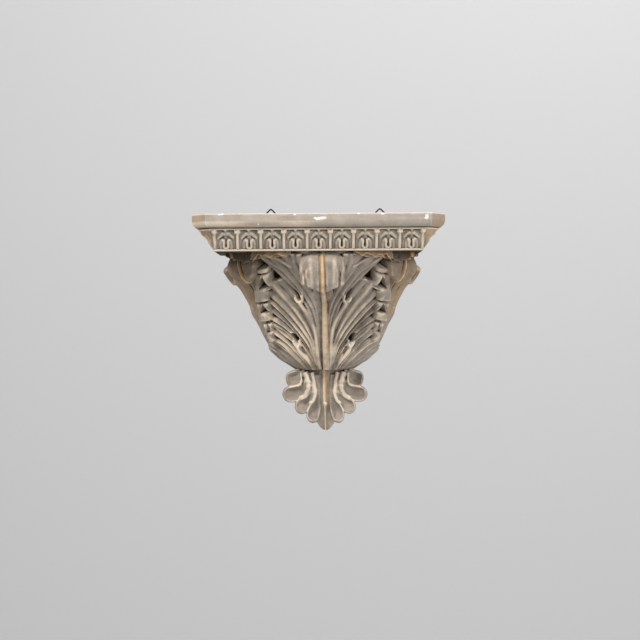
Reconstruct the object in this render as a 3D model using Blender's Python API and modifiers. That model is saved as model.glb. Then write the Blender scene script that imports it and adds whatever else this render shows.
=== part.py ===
# A wall-hung plaster bracket shelf: a moulded shelf with clipped front corners and a
# leaf-and-dart frieze, on a half-round bell of acanthus leaves that ends in a small
# palmette drop, with two iron wire loops at the back to hang it by.
# Metres, +Z up. The flat back is the plane y = 0 and the front faces -Y. The origin is on
# the back, on the centre line, a little under the shelf top.

import math

import bmesh
import bpy
import numpy as np

# Shelf and its moulding
SHELF_WIDTH = 0.381
SHELF_DEPTH = 0.200
SHELF_TOP = 0.018
CLIP_ACROSS = 0.022
CLIP_DEEP = 0.030
SLAB_HEIGHT = 0.0204
SLAB_ARRIS = 0.0012
OVOLO_HEIGHT = 0.0110
OVOLO_IN = 0.0090
QUIRK = 0.0022
FILLET_HEIGHT = 0.0036
FRIEZE_HEIGHT = 0.0275
FRIEZE_IN = 0.0225
BEAD_HEIGHT = 0.0037
BEAD_OUT = 0.0016
LEAF_PITCH = 0.0347
RELIEF = 0.0030
RELIEF_GROUND = 0.0055

# Bell of leaves, and how far the carving leans to the right of the shelf
BELL_HEIGHT = 0.1824
BELL_TOP_RADIUS = 0.160
BELL_NECK_RADIUS = 0.043
LEAF_THICKNESS = 0.009
FLUTE_DEPTH = 0.0042
RIB_WIDTH = 0.0100
RIB_HEIGHT = 0.0085
LEAN_TOP = 0.0030
LEAN_BOTTOM = 0.0065

# Curled tips: how far each hangs in front of the bell
TIP_LENGTH = 0.0625
TIP_WIDTH = 0.068
TIP_REACH = 0.170
TIP_THICKNESS = 0.010
CORNER_ANGLE = 51.5
CORNER_TIP_LENGTH = 0.046
CORNER_TIP_WIDTH = 0.066
CORNER_TIP_REACH = 0.168

# Palmette drop
DROP_LENGTH = 0.0965
DROP_WIDTH = 0.134
DROP_DEPTH = 0.040
DROP_TIP_DEPTH = 0.026
DROP_RIM = 0.0055
LOBE_BACK = 0.006

# Hanging loops of bent wire
WIRE = 0.0023
LOOP_WIDTH = 0.018
LOOP_RISE = 0.019
LOOP_BEND_HEIGHT = 0.012
LOOP_LEFT = -0.076
LOOP_RIGHT = 0.098
LOOP_FROM_WALL = 0.0045
NOTCH_WIDTH = 0.026
NOTCH_DEPTH = 0.009
NOTCH_HEIGHT = 0.016
SOCKET_DEPTH = 0.012
WIRE_GAP = 0.0003

# Material reached past a plane that a later cut trims, and buried under a surface
OVERRUN = 0.006

# Triangles that the carved casting is brought down to before its back is cut flat
CARVED_FACES = 9300

HALF = SHELF_WIDTH / 2
SLAB_BOTTOM = SHELF_TOP - SLAB_HEIGHT
FRIEZE_TOP = SLAB_BOTTOM - FILLET_HEIGHT
FRIEZE_BOTTOM = FRIEZE_TOP - FRIEZE_HEIGHT
SOFFIT = FRIEZE_BOTTOM - BEAD_HEIGHT
FRIEZE_TOP_IN = OVOLO_IN + QUIRK
FRIEZE_BOTTOM_IN = FRIEZE_TOP_IN + FRIEZE_IN
NECK = SOFFIT - BELL_HEIGHT
DROP_TIP = NECK - DROP_LENGTH

# The bell's outline from the neck up, as shares of its height and of its two radii
BELL_SHARES = (0.0, 0.04, 0.10, 0.18, 0.30, 0.45, 0.60, 0.72, 0.83, 0.93, 1.0)
BELL_SWELL = (0.0, 0.10, 0.23, 0.34, 0.43, 0.525, 0.62, 0.72, 0.85, 0.95, 1.0)

# The left half-leaf's lobes from the middle down. Each has two edges, and each edge three
# points: angle from the front in degrees and share of the bell's height, at the neck,
# halfway and at the tip. The last three are flutes, rise at the tip and teeth depth.
LEAF_LOBES = (
    (((3.5, 0.03), (2.4, 0.49), (6, 1.0)), ((11.5, 0.03), (18, 0.65), (34, 0.965)), 3, 0.007, 0.03),
    (((12, 0.03), (19.5, 0.60), (33, 0.83)), ((17.5, 0.03), (27, 0.45), (44, 0.62)), 3, 0.010, 0.09),
    (((18, 0.03), (28, 0.43), (45, 0.585)), ((23.5, 0.03), (33, 0.27), (57, 0.44)), 2, 0.012, 0.10),
    (((24, 0.03), (34, 0.25), (57, 0.40)), ((37, 0.03), (50, 0.17), (71, 0.28)), 3, 0.009, 0.12),
    (((38, 0.03), (51, 0.155), (71, 0.24)), ((58, 0.02), (72, 0.09), (88, 0.17)), 2, 0.004, 0.08),
)

# The corner leaf and the leaf by the wall, seen past the central one, in the same way
CORNER_LOBES = (
    (((64, 0.30), (50, 0.62), (40, 0.93)), ((68, 0.30), (57, 0.60), (52, 0.95)), 2, 0.006, 0.03),
    (((69, 0.30), (58, 0.58), (53, 0.92)), ((77, 0.34), (71, 0.58), (70, 0.84)), 3, 0.019, 0.06),
    (((78, 0.30), (72, 0.62), (71, 0.84)), ((96, 0.34), (94, 0.60), (92, 0.90)), 2, 0.014, 0.06),
    (((72, 0.18), (76, 0.34), (76, 0.55)), ((96, 0.08), (95, 0.28), (94, 0.50)), 2, 0.004, 0.08),
)

# Turned lobe ends in a column where the two leaves meet: angle, share, half height
TURNED_ENDS = (
    (38.5, 0.800, 0.042),
    (44.0, 0.695, 0.038),
    (51.5, 0.590, 0.038),
    (58.5, 0.480, 0.036),
    (66.0, 0.375, 0.036),
)

# The drop's left lobes from the top down, as shares of its half width and its length
DROP_LOBES = (
    (((0.40, 0.01), (0.55, 0.02), (0.93, 0.05)), ((0.31, 0.01), (0.47, 0.25), (1.00, 0.27)), 0.20),
    (((0.30, 0.01), (0.46, 0.26), (1.05, 0.26)), ((0.21, 0.01), (0.30, 0.43), (0.94, 0.54)), 0.20),
    (((0.20, 0.01), (0.31, 0.42), (0.82, 0.49)), ((0.14, 0.01), (0.20, 0.48), (0.57, 0.71)), 0.22),
    (((0.13, 0.01), (0.20, 0.46), (0.54, 0.66)), ((0.08, 0.01), (0.11, 0.50), (0.25, 0.88)), 0.22),
)


def clear_scene():
    for thing in list(bpy.data.objects):
        bpy.data.objects.remove(thing, do_unlink=True)


def new_collection(name):
    group = bpy.data.collections.new(name)
    bpy.context.scene.collection.children.link(group)
    return group


def plain_material(name, colour, roughness, metallic):
    material = bpy.data.materials.new(name)
    material.use_nodes = True
    shader = material.node_tree.nodes["Principled BSDF"]
    shader.inputs["Base Color"].default_value = (*colour, 1.0)
    shader.inputs["Roughness"].default_value = roughness
    shader.inputs["Metallic"].default_value = metallic
    return material


def solid_from(name, points, faces, group):
    """A closed mesh object from points and faces, with its faces turned outwards."""
    mesh = bpy.data.meshes.new(name)
    mesh.from_pydata([tuple(p) for p in points], [], faces)
    shape = bmesh.new()
    shape.from_mesh(mesh)
    bmesh.ops.triangulate(shape, faces=shape.faces)
    bmesh.ops.recalc_face_normals(shape, faces=shape.faces)
    if shape.calc_volume(signed=True) < 0:
        bmesh.ops.reverse_faces(shape, faces=shape.faces)
    shape.to_mesh(mesh)
    shape.free()
    thing = bpy.data.objects.new(name, mesh)
    group.objects.link(thing)
    return thing


def between(outer, inner):
    """Points and faces of the solid between two grids of the same shape."""
    rows, cols = outer.shape[:2]
    points = np.concatenate([outer.reshape(-1, 3), inner.reshape(-1, 3)])
    index = np.arange(rows * cols).reshape(rows, cols)
    back = index + rows * cols
    faces = []
    for r in range(rows - 1):
        for c in range(cols - 1):
            faces.append((index[r, c], index[r, c + 1], index[r + 1, c + 1], index[r + 1, c]))
            faces.append((back[r, c], back[r + 1, c], back[r + 1, c + 1], back[r, c + 1]))
    rim = [*index[0], *index[1:, -1], *index[-1, -2::-1], *index[-2:0:-1, 0]]
    for a, b in zip(rim, rim[1:] + rim[:1]):
        faces.append((a, b, b + rows * cols, a + rows * cols))
    return points, [tuple(int(i) for i in face) for face in faces]


def carve(name, outer, inner, group, mirrored=True):
    """The solid between two grids, and its mirror image in x unless that isn't wanted."""
    made = []
    for side in (1, -1) if mirrored else (1,):
        flip = np.array([side, 1, 1])
        points, faces = between(outer * flip, inner * flip)
        points[:, 0] += lean(points[:, 2])
        made.append(solid_from(f"{name}_{side}", points, faces, group))
    return made


def lean(height):
    """How far the carving stands right of the shelf's centre at a height."""
    share = (SOFFIT - height) / (SOFFIT - DROP_TIP)
    return LEAN_TOP + (LEAN_BOTTOM - LEAN_TOP) * np.clip(share, 0, 1)


def evaluated_mesh(thing):
    graph = bpy.context.evaluated_depsgraph_get()
    return bpy.data.meshes.new_from_object(thing.evaluated_get(graph))


def boolean(thing, other, operation):
    """Joins another solid to this one or cuts it away.

    The exact solver leaves open edges where the carved shapes cross, so this is the other.
    """
    step = thing.modifiers.new(operation.lower(), "BOOLEAN")
    step.operation = operation
    step.solver = "MANIFOLD"
    step.object = other
    finish(thing)


def finish(thing):
    """Puts a shape's modifiers into its mesh."""
    mesh = evaluated_mesh(thing)
    thing.modifiers.clear()
    old = thing.data
    thing.data = mesh
    bpy.data.meshes.remove(old)


def join_all(thing, others):
    for other in others:
        boolean(thing, other, "UNION")
        bpy.data.objects.remove(other, do_unlink=True)


def plan_corners(inset):
    """Half of the shelf's outline in plan, inset from the slab's: wall, clip, clip, front."""
    length = math.hypot(CLIP_ACROSS, CLIP_DEEP)
    nx = CLIP_DEEP / length
    ny = CLIP_ACROSS / length
    reach = nx * HALF + ny * (SHELF_DEPTH - CLIP_DEEP) - inset
    side = HALF - inset
    front = SHELF_DEPTH - inset
    side_end = (reach - nx * side) / ny
    front_end = (reach - ny * front) / nx
    return side, side_end, front_end, front


def plan_ring(inset):
    side, side_end, front_end, front = plan_corners(inset)
    left = [(-side, OVERRUN), (-side, -side_end), (-front_end, -front)]
    right = [(-x, y) for x, y in reversed(left)]
    return left + right


def moulding_profile():
    """Inset from the slab's face and height, from the shelf top down to the soffit."""
    rows = [(SLAB_ARRIS, SHELF_TOP), (0.0, SHELF_TOP - SLAB_ARRIS)]
    for step in range(5):
        turn = step / 4 * math.pi / 2
        inset = OVOLO_IN * (1 - math.cos(turn))
        rows.append((inset, SLAB_BOTTOM + OVOLO_HEIGHT * (1 - math.sin(turn))))
    rows.append((FRIEZE_TOP_IN, SLAB_BOTTOM))
    rows.append((FRIEZE_TOP_IN - QUIRK / 2, SLAB_BOTTOM - FILLET_HEIGHT / 3))
    rows.append((FRIEZE_TOP_IN - QUIRK / 2, FRIEZE_TOP))
    for share in (1.0, 0.75, 0.5, 0.25, 0.0):
        inset, height = frieze_face(share)
        rows.append((inset + RELIEF_GROUND, height))
    rows.append((FRIEZE_BOTTOM_IN - BEAD_OUT, FRIEZE_BOTTOM - BEAD_HEIGHT / 4))
    rows.append((FRIEZE_BOTTOM_IN - BEAD_OUT, SOFFIT + BEAD_HEIGHT / 4))
    rows.append((FRIEZE_BOTTOM_IN, SOFFIT))
    return rows


def frieze_face(share):
    """The cyma's inset and height at a share of its height from the bottom."""
    travel = share + 0.06 * math.sin(2 * math.pi * share)
    return FRIEZE_BOTTOM_IN - FRIEZE_IN * travel, FRIEZE_BOTTOM + FRIEZE_HEIGHT * share


def shelf_body(group):
    """The plain moulding: one ring of plan corners for each row of the profile."""
    rings = []
    for inset, height in moulding_profile():
        rings.append([(x, y, height) for x, y in plan_ring(inset)])
    points = [p for ring in rings for p in ring]
    n = len(rings[0])
    faces = [tuple(range(n)), tuple(range((len(rings) - 1) * n, len(rings) * n))]
    for row in range(len(rings) - 1):
        for i in range(n):
            j = (i + 1) % n
            faces.append((row * n + i, row * n + j, (row + 1) * n + j, (row + 1) * n + i))
    return solid_from("plaster_bracket", points, faces, group)


# The frieze's leaf and dart: how far each place across (0 is a leaf's midrib, 1 a dart's
# middle) stands out at each share of the height from the bottom, in units of RELIEF
MOTIF_ACROSS = (0.12, 0.22, 0.40, 0.56, 0.76, 1.0)
MOTIF_UP = (0.0, 0.26, 0.50, 0.63, 0.84, 1.0)


def motif_relief(across, up):
    """Leaf and dart relief from a few soft ridges and hollows."""
    across, up = np.broadcast_arrays(across, up)

    def ridge(centre, width):
        return np.clip(1 - np.abs(across - centre) / width, 0, 1)

    low = np.clip((0.58 - up) / 0.10, 0, 1)
    high = np.clip((up - 0.60) / 0.12, 0, 1) * np.clip((1.02 - up) / 0.16, 0, 1)
    midrib = np.clip((0.19 - across) / 0.06, 0, 1) * 1.15
    strand = ridge(0.40, 0.17) * low * 0.95
    rim = ridge(0.76, 0.17) * low * np.clip(up / 0.10, 0, 1)
    foot = np.clip((across - 0.70) / 0.1, 0, 1) * ridge(1.0, 0.5) * np.clip((0.2 - up) / 0.1, 0, 1)
    arch = np.clip(1 - np.abs(up - 0.50) / 0.13, 0, 1) * np.clip((across - 0.30) / 0.1, 0, 1) * 0.9
    spread = high * np.clip((across - 0.16) / 0.1, 0, 1) * np.clip((0.98 - across) / 0.3, 0, 1)
    pit = np.clip((across - 0.86) / 0.08, 0, 1) * np.clip(1 - np.abs(up - 0.28) / 0.16, 0, 1)
    relief = np.maximum.reduce([midrib, strand, rim, foot, arch, spread])
    return (relief - 1.5 * pit) * RELIEF


def frieze_points(runs, ups, lift, place):
    """Grid of points on a frieze face: runs along it, shares up it, lift off it."""
    slope = math.atan2(FRIEZE_HEIGHT, FRIEZE_IN)
    grid = np.zeros((len(ups), len(runs), 3))
    for row, up in enumerate(ups):
        inset, height = frieze_face(up)
        for col, run in enumerate(runs):
            stand = lift[row, col]
            grid[row, col] = place(run, inset - stand * math.sin(slope))
            grid[row, col, 2] = height - stand * math.cos(slope)
    return grid


def motif_columns(start, end, phase):
    """Places along a face where the motif turns, and how far across the motif each is."""
    found = []
    first = math.floor((start - phase) / LEAF_PITCH) - 1
    last = math.ceil((end - phase) / LEAF_PITCH) + 1
    for k in range(first, last + 1):
        for across in MOTIF_ACROSS:
            for side in (-1, 1):
                run = phase + (k + side * across / 2) * LEAF_PITCH
                if start <= run <= end:
                    found.append((round(run, 7), across))
    runs = sorted(set(found))
    return [r for r, a in runs], [a for r, a in runs]


def frieze_strip(name, start, end, phase, place, ends, group):
    """Leaves and darts along a face, out to the ends that are mitred."""
    runs, across = motif_columns(start, end, phase)
    if "start" in ends:
        runs.insert(0, -SHELF_WIDTH)
        across.insert(0, 0.40)
    runs.append(SHELF_WIDTH)
    across.append(0.40)
    ups = np.array(MOTIF_UP)
    lift = motif_relief(np.array(across)[None, :], ups[:, None])
    outer = frieze_points(runs, ups, lift, place)
    inner = frieze_points(runs, ups, np.full(lift.shape, -RELIEF_GROUND - OVERRUN), place)
    points, faces = between(outer, inner)
    return solid_from(name, points, faces, group)


def frieze(group):
    """Carved strips for the front, the sides and the clipped corners."""
    side, side_end, front_end, front = plan_corners(FRIEZE_BOTTOM_IN)
    last = front_end - 0.002
    strips = [frieze_strip("front_strip", -last, last, LEAF_PITCH / 2, front_place, "both start", group)]
    for hand in (-1, 1):
        def side_place(run, inset, hand=hand):
            end = plan_corners(inset)[1]
            return hand * (HALF - inset), -min(run, end), 0

        strips.append(frieze_strip(
            f"side_strip_{hand}", -OVERRUN, side_end - 0.002, side_end - 0.85 * LEAF_PITCH,
            side_place, "end", group))
        strips.append(corner_leaf(hand, group))
    return strips


def front_place(run, inset):
    """A place on the front face of the moulding, kept inside the mitres."""
    side, side_end, front_end, front = plan_corners(inset)
    return max(-front_end, min(front_end, run)), -front, 0


def corner_leaf(hand, group):
    """The folded leaf that fills a clipped corner of the frieze."""
    across = np.linspace(-0.02, 1.02, 7)
    ups = np.array(MOTIF_UP)
    fold = np.abs(np.sin(2 * np.pi * np.clip(across, 0, 1))) * 1.1 - 0.1
    end = np.clip((1.05 - ups) / 0.2, 0.3, 1)
    lift = fold[None, :] * end[:, None] * RELIEF

    def place(run, inset):
        side, side_end, front_end, front = plan_corners(inset)
        x = side + (front_end - side) * run
        y = side_end + (front - side_end) * run
        return hand * x, -y, 0

    outer = frieze_points(across, ups, lift, place)
    inner = frieze_points(across, ups, np.full(lift.shape, -RELIEF_GROUND - OVERRUN), place)
    points, faces = between(outer, inner)
    return solid_from(f"corner_leaf_{hand}", points, faces, group)


def bell_radius(share):
    swell = np.interp(share, BELL_SHARES, BELL_SWELL)
    return BELL_NECK_RADIUS + (BELL_TOP_RADIUS - BELL_NECK_RADIUS) * swell


def on_bell(angle, share, lift):
    """Points at an angle from the front and a share of the height, lifted off the bell."""
    step = 0.02
    run = bell_radius(share + step) - bell_radius(share - step)
    rise = 2 * step * BELL_HEIGHT
    length = np.hypot(run, rise)
    radius = bell_radius(share) + lift * rise / length
    height = NECK + share * BELL_HEIGHT - lift * run / length
    turn = np.radians(angle)
    return np.stack([-radius * np.sin(turn), -radius * np.cos(turn), height], axis=-1)


def through(points, s):
    """A smooth path through three points, the middle one reached halfway."""
    start, middle, end = (np.array(p, float) for p in points)
    pull = 2 * middle - (start + end) / 2
    s = s[..., None]
    return (1 - s) ** 2 * start + 2 * s * (1 - s) * pull + s ** 2 * end


def lobe_plan(first, second, across, along):
    """Plan of a lobe between its two edges: a grid of places, along by across."""
    a = through(first, along)
    b = through(second, along)
    c = across[None, :, None]
    return a * (1 - c) + b * c


def smooth(value, low, high):
    x = np.clip((value - low) / (high - low), 0, 1)
    return x * x * (3 - 2 * x)


def fluted_lobe(name, first, second, flutes, rise, teeth, group):
    """An acanthus lobe: flutes that fan from the neck to a toothed tip that turns out."""
    across = np.linspace(0, 1, 2 * flutes + 1)
    rows = np.array([0, 0.16, 0.34, 0.52, 0.70, 0.86, 1.0])
    tooth = np.abs(np.cos(np.pi * flutes * across))
    along = rows[:, None] * (1 - teeth * tooth[None, :])
    plan = lobe_plan(first, second, across, along)
    ridge = np.abs(np.cos(np.pi * flutes * across))[None, :]
    reach = smooth(along, 0.0, 0.25)
    crown = 0.003 * np.sin(np.pi * across)[None, :]
    turned = rise * smooth(along, 0.55, 1.0)
    lift = FLUTE_DEPTH * ridge * (0.35 + 0.65 * reach) + crown + turned
    outer = on_bell(plan[..., 0], plan[..., 1], lift)
    inner = on_bell(plan[..., 0], plan[..., 1], np.full(lift.shape, -1.6 * LEAF_THICKNESS))
    return carve(name, outer, inner, group)


def bell_core(group):
    """The bell under the leaves, turned about the wall's line."""
    profile = [(0.0, SOFFIT + OVERRUN)]
    for share in BELL_SHARES[::-1]:
        profile.append((float(bell_radius(share)) - LEAF_THICKNESS, NECK + share * BELL_HEIGHT))
    profile[1] = (profile[1][0], SOFFIT + OVERRUN)
    profile.append((0.0, NECK))
    mesh = bpy.data.meshes.new("bell_core")
    mesh.from_pydata([(r, 0, z) for r, z in profile], [(i, i + 1) for i in range(len(profile) - 1)], [])
    core = bpy.data.objects.new("bell_core", mesh)
    group.objects.link(core)
    turn = core.modifiers.new("turn", "SCREW")
    turn.axis = "Z"
    turn.angle = 2 * math.pi
    turn.steps = 32
    turn.render_steps = 32
    turn.use_merge_vertices = True
    turn.merge_threshold = 0.00001
    finish(core)
    core.location.x = LEAN_TOP
    return core


def midrib(group):
    """The raised rib up the middle of the central leaf."""
    across = np.array([-1.0, -0.55, 0.0, 0.55, 1.0])
    along = np.linspace(0.0, 0.80, 7)
    half = RIB_WIDTH / 2 * (1 - 0.35 * along)
    radius = bell_radius(along)
    angle = np.degrees(half / radius)[:, None] * across[None, :]
    share = np.repeat(along[:, None], len(across), axis=1)
    lift = RIB_HEIGHT * (1 - 0.75 * np.abs(across)[None, :] ** 2) * np.ones_like(share)
    outer = on_bell(angle, share, lift)
    inner = on_bell(angle, share, np.full(share.shape, -1.6 * LEAF_THICKNESS))
    return carve("midrib", outer, inner, group, mirrored=False)


def curled_tip(name, angle, length, width, reach, thickness, group, mirrored=True):
    """A leaf tip that rolls over at the top and hangs down, seen from its ribbed back."""
    across = np.array([-1.0, -0.82, -0.5, -0.2, -0.09, -0.05, 0.05, 0.09, 0.2, 0.5, 0.82, 1.0])
    along = np.array([0.0, 0.14, 0.32, 0.52, 0.72, 0.88, 1.0])
    roll = np.array([0.88, 0.955, 0.99, 1.0, 0.985, 0.955, 0.91])
    taper = np.interp(along, (0, 0.3, 0.55, 0.72, 0.86, 1.0), (0.94, 1.0, 0.98, 0.88, 0.60, 0.06))
    drop = along * length
    cup = -0.012 * np.abs(across) ** 2.4
    rib = np.where(np.abs(across) < 0.07, 0.0022, 0.0)
    groove = np.where(np.abs(np.abs(across) - 0.09) < 0.01, -0.0016, 0.0)
    swell = 0.0022 * np.sin(np.pi * np.clip((np.abs(across) - 0.09) / 0.91, 0, 1))
    shape = (cup + rib + groove + swell) * width / TIP_WIDTH
    depth = (reach * roll)[:, None] + shape[None, :]
    side = (width / 2 * taper)[:, None] * across[None, :]
    height = np.repeat((SOFFIT + 0.001 - drop)[:, None], len(across), axis=1)
    back = depth - thickness * (1.6 - 0.9 * along)[:, None]
    back[0] -= OVERRUN
    turn = math.radians(angle)
    grids = []
    for out in (depth, back):
        x = side * math.cos(turn) - out * math.sin(turn)
        y = -side * math.sin(turn) - out * math.cos(turn)
        grids.append(np.stack([x, y, height], axis=-1))
    return carve(name, grids[0], grids[1], group, mirrored)


def turned_end(index, angle, share, half_height, group):
    """A lobe's end that is folded round at the meeting of two leaves."""
    spread = 5.6
    across = np.array([-1.0, -0.7, 0.0, 0.7, 1.0])
    up = np.array([-1.0, -0.6, 0.3, 1.0])
    angles = angle + spread * across[None, :] + 1.5 * up[:, None] * -1
    shares = share + half_height * up[:, None] + 0 * across[None, :]
    lift = 0.016 - 0.004 * np.abs(across[None, :]) ** 2 - 0.005 * np.abs(up[:, None]) ** 2
    outer = on_bell(angles, shares, lift)
    inner = on_bell(angles, shares, np.full(lift.shape, -1.6 * LEAF_THICKNESS))
    return carve(f"turned_end_{index}", outer, inner, group)


def leaf_rim(group):
    """The wavy edge of each corner leaf, just under the bead."""
    across = np.linspace(0, 1, 11)
    angles = 27 + 40 * across[None, :] + np.zeros((4, 1))
    wave = 0.018 * np.cos(4 * np.pi * across)[None, :]
    down = np.array([0.0, 0.35, 0.75, 1.0])[:, None]
    shares = 1.0 - (0.075 + wave) * down
    lift = -0.002 + 0.009 * down + 0.0015 * np.cos(10 * np.pi * across)[None, :] * down
    outer = on_bell(angles, shares, lift)
    inner = on_bell(angles, shares, np.full(lift.shape, -1.4 * LEAF_THICKNESS))
    return carve("leaf_rim", outer, inner, group)


def drop_depth(x, z):
    """How far the drop's plain surface stands off the wall."""
    share = np.clip((NECK - z) / DROP_LENGTH, 0, 1)
    middle = DROP_DEPTH + (DROP_TIP_DEPTH - DROP_DEPTH) * share ** 1.5
    return middle * (1 - 0.38 * np.abs(x / (DROP_WIDTH / 2)) ** 1.5)


def on_drop(plan, lift):
    """Points of the drop from shares of its half width and length, lifted off its face."""
    x = -plan[..., 0] * DROP_WIDTH / 2
    z = NECK - plan[..., 1] * DROP_LENGTH
    return np.stack([x, -(drop_depth(x, z) + lift), z], axis=-1)


def drop_lobe(name, first, second, roundness, group):
    """A spoon-shaped lobe of the drop, with a pipe from the neck and a raised rim."""
    across = np.array([0.0, 0.12, 0.35, 0.65, 0.88, 1.0])
    rows = np.array([0, 0.2, 0.4, 0.58, 0.74, 0.88, 1.0])
    end = 1 - roundness * np.abs(2 * across - 1) ** 2.5
    along = rows[:, None] * end[None, :]
    plan = lobe_plan(first, second, across, along)
    rim = np.abs(2 * across - 1)[None, :] ** 2
    edge = np.maximum(rim, smooth(rows, 0.75, 1.0)[:, None])
    lift = DROP_RIM * (edge * smooth(rows, 0.0, 0.3)[:, None] - 0.4)
    outer = on_drop(plan, lift)
    inner = outer.copy()
    inner[..., 1] = -LOBE_BACK
    return carve(name, outer, inner, group)


def drop_middle(group):
    """The drop's pointed middle lobe with its rib and the little boss on it."""
    across = np.array([-1.0, -0.8, -0.45, -0.25, 0.25, 0.45, 0.8, 1.0])
    rows = np.array([0.0, 0.25, 0.5, 0.62, 0.74, 0.86, 0.95, 1.0])
    wide = np.interp(rows, (0, 0.5, 0.62, 0.78, 0.9, 1.0), (0.13, 0.12, 0.19, 0.26, 0.20, 0.03))
    x = wide[:, None] * across[None, :]
    z = np.repeat(rows[:, None], len(across), axis=1)
    rib = np.where(np.abs(across) < 0.3, 0.005, 0.0)[None, :]
    rim = 0.6 * DROP_RIM * np.abs(across)[None, :] ** 3 * smooth(rows, 0.5, 0.8)[:, None]
    plan = np.stack([x, z], axis=-1)
    outer = on_drop(plan, rib + rim)
    inner = outer.copy()
    inner[..., 1] = OVERRUN
    return carve("drop_middle", outer, inner, group, mirrored=False)


def drop_core(group):
    """The plain stem behind the drop's lobes, which meets the wall."""
    across = np.linspace(-1, 1, 7)
    rows = np.linspace(-0.06, 0.62, 5)
    wide = np.interp(rows, (-0.06, 0.05, 0.3, 0.62), (0.60, 0.58, 0.46, 0.16))
    x = wide[:, None] * across[None, :]
    z = np.repeat(rows[:, None], len(across), axis=1)
    outer = on_drop(np.stack([x, z], axis=-1), -0.004 - 0.010 * np.abs(across)[None, :] ** 2 + 0 * z)
    inner = outer.copy()
    inner[..., 1] = OVERRUN
    return carve("drop_core", outer, inner, group, mirrored=False)


def box(name, low, high, group):
    """A block from its low and high corners."""
    low, high = np.array(low), np.array(high)
    shape = bmesh.new()
    bmesh.ops.create_cube(shape, size=1.0)
    bmesh.ops.scale(shape, verts=shape.verts, vec=high - low)
    bmesh.ops.translate(shape, verts=shape.verts, vec=(low + high) / 2)
    mesh = bpy.data.meshes.new(name)
    shape.to_mesh(mesh)
    shape.free()
    thing = bpy.data.objects.new(name, mesh)
    thing.hide_render = True
    thing.display_type = "WIRE"
    group.objects.link(thing)
    return thing


def socket(name, x, group):
    """Clearance hole for one leg of a hanging loop, in the floor of its notch."""
    floor = SHELF_TOP - NOTCH_HEIGHT
    shape = bmesh.new()
    bmesh.ops.create_cone(
        shape, cap_ends=True, segments=10,
        radius1=WIRE / 2 + WIRE_GAP, radius2=WIRE / 2 + WIRE_GAP,
        depth=SOCKET_DEPTH + OVERRUN)
    middle = floor - SOCKET_DEPTH + (SOCKET_DEPTH + OVERRUN) / 2
    bmesh.ops.translate(shape, verts=shape.verts, vec=(x, -LOOP_FROM_WALL, middle))
    mesh = bpy.data.meshes.new(name)
    shape.to_mesh(mesh)
    shape.free()
    thing = bpy.data.objects.new(name, mesh)
    thing.hide_render = True
    thing.display_type = "WIRE"
    group.objects.link(thing)
    return thing


def plaster_bracket(parts, cutters, material):
    """The whole casting: moulding, frieze, bell, leaves and drop as one solid."""
    body = shelf_body(parts)
    pieces = [bell_core(parts)]
    pieces += frieze(parts)
    for index, lobe in enumerate(LEAF_LOBES):
        pieces += fluted_lobe(f"leaf_lobe_{index}", *lobe, parts)
    for index, lobe in enumerate(CORNER_LOBES):
        pieces += fluted_lobe(f"corner_lobe_{index}", *lobe, parts)
    pieces += midrib(parts)
    for index, (angle, share, half_height) in enumerate(TURNED_ENDS):
        pieces += turned_end(index, angle, share, half_height, parts)
    pieces += leaf_rim(parts)
    pieces += curled_tip(
        "central_tip", 0, TIP_LENGTH, TIP_WIDTH, TIP_REACH, TIP_THICKNESS, parts, mirrored=False)
    pieces += curled_tip(
        "corner_tip", CORNER_ANGLE, CORNER_TIP_LENGTH, CORNER_TIP_WIDTH, CORNER_TIP_REACH,
        TIP_THICKNESS, parts)
    pieces += drop_core(parts)
    pieces += drop_middle(parts)
    for index, lobe in enumerate(DROP_LOBES):
        pieces += drop_lobe(f"drop_lobe_{index}", *lobe, parts)
    join_all(body, pieces)
    fill_pockets(body)
    fewer_faces(body)

    far = SHELF_WIDTH
    cuts = [box("wall_trim", (-far, 0, -far), (far, far, far), cutters)]
    for hand, x in (("left", LOOP_LEFT), ("right", LOOP_RIGHT)):
        low = (x - NOTCH_WIDTH / 2, -NOTCH_DEPTH, SHELF_TOP - NOTCH_HEIGHT)
        high = (x + NOTCH_WIDTH / 2, OVERRUN, SHELF_TOP + OVERRUN)
        cuts.append(box(f"notch_{hand}", low, high, cutters))
        for leg in (-1, 1):
            cuts.append(socket(f"socket_{hand}_{leg}", x + leg * LOOP_WIDTH / 2, cutters))
    for cut in cuts:
        boolean(body, cut, "DIFFERENCE")
    fill_pockets(body)
    body.data.materials.clear()
    body.data.materials.append(material)
    return body


def islands(shape):
    """The separate surfaces of a mesh, each as a set of its faces."""
    left = set(shape.faces)
    found = []
    while left:
        island = set()
        edge = [left.pop()]
        while edge:
            face = edge.pop()
            island.add(face)
            for side in face.edges:
                near = [other for other in side.link_faces if other in left]
                left.difference_update(near)
                edge.extend(near)
        found.append(island)
    return found


def fill_pockets(thing):
    """Fills the sealed air pockets left between the carved shapes, as the cast plaster would."""
    shape = bmesh.new()
    shape.from_mesh(thing.data)
    bmesh.ops.triangulate(shape, faces=shape.faces)
    for island in islands(shape):
        volume = sum(f.verts[0].co.dot(f.verts[1].co.cross(f.verts[2].co)) for f in island)
        if volume < 0:
            bmesh.ops.delete(shape, geom=list(island), context="FACES")
    shape.to_mesh(thing.data)
    shape.free()


def fewer_faces(thing):
    """Collapses the slivers that joining leaves behind."""
    now = sum(len(face.vertices) - 2 for face in thing.data.polygons)
    step = thing.modifiers.new("fewer_faces", "DECIMATE")
    step.ratio = min(1.0, CARVED_FACES / now)
    finish(thing)


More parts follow.
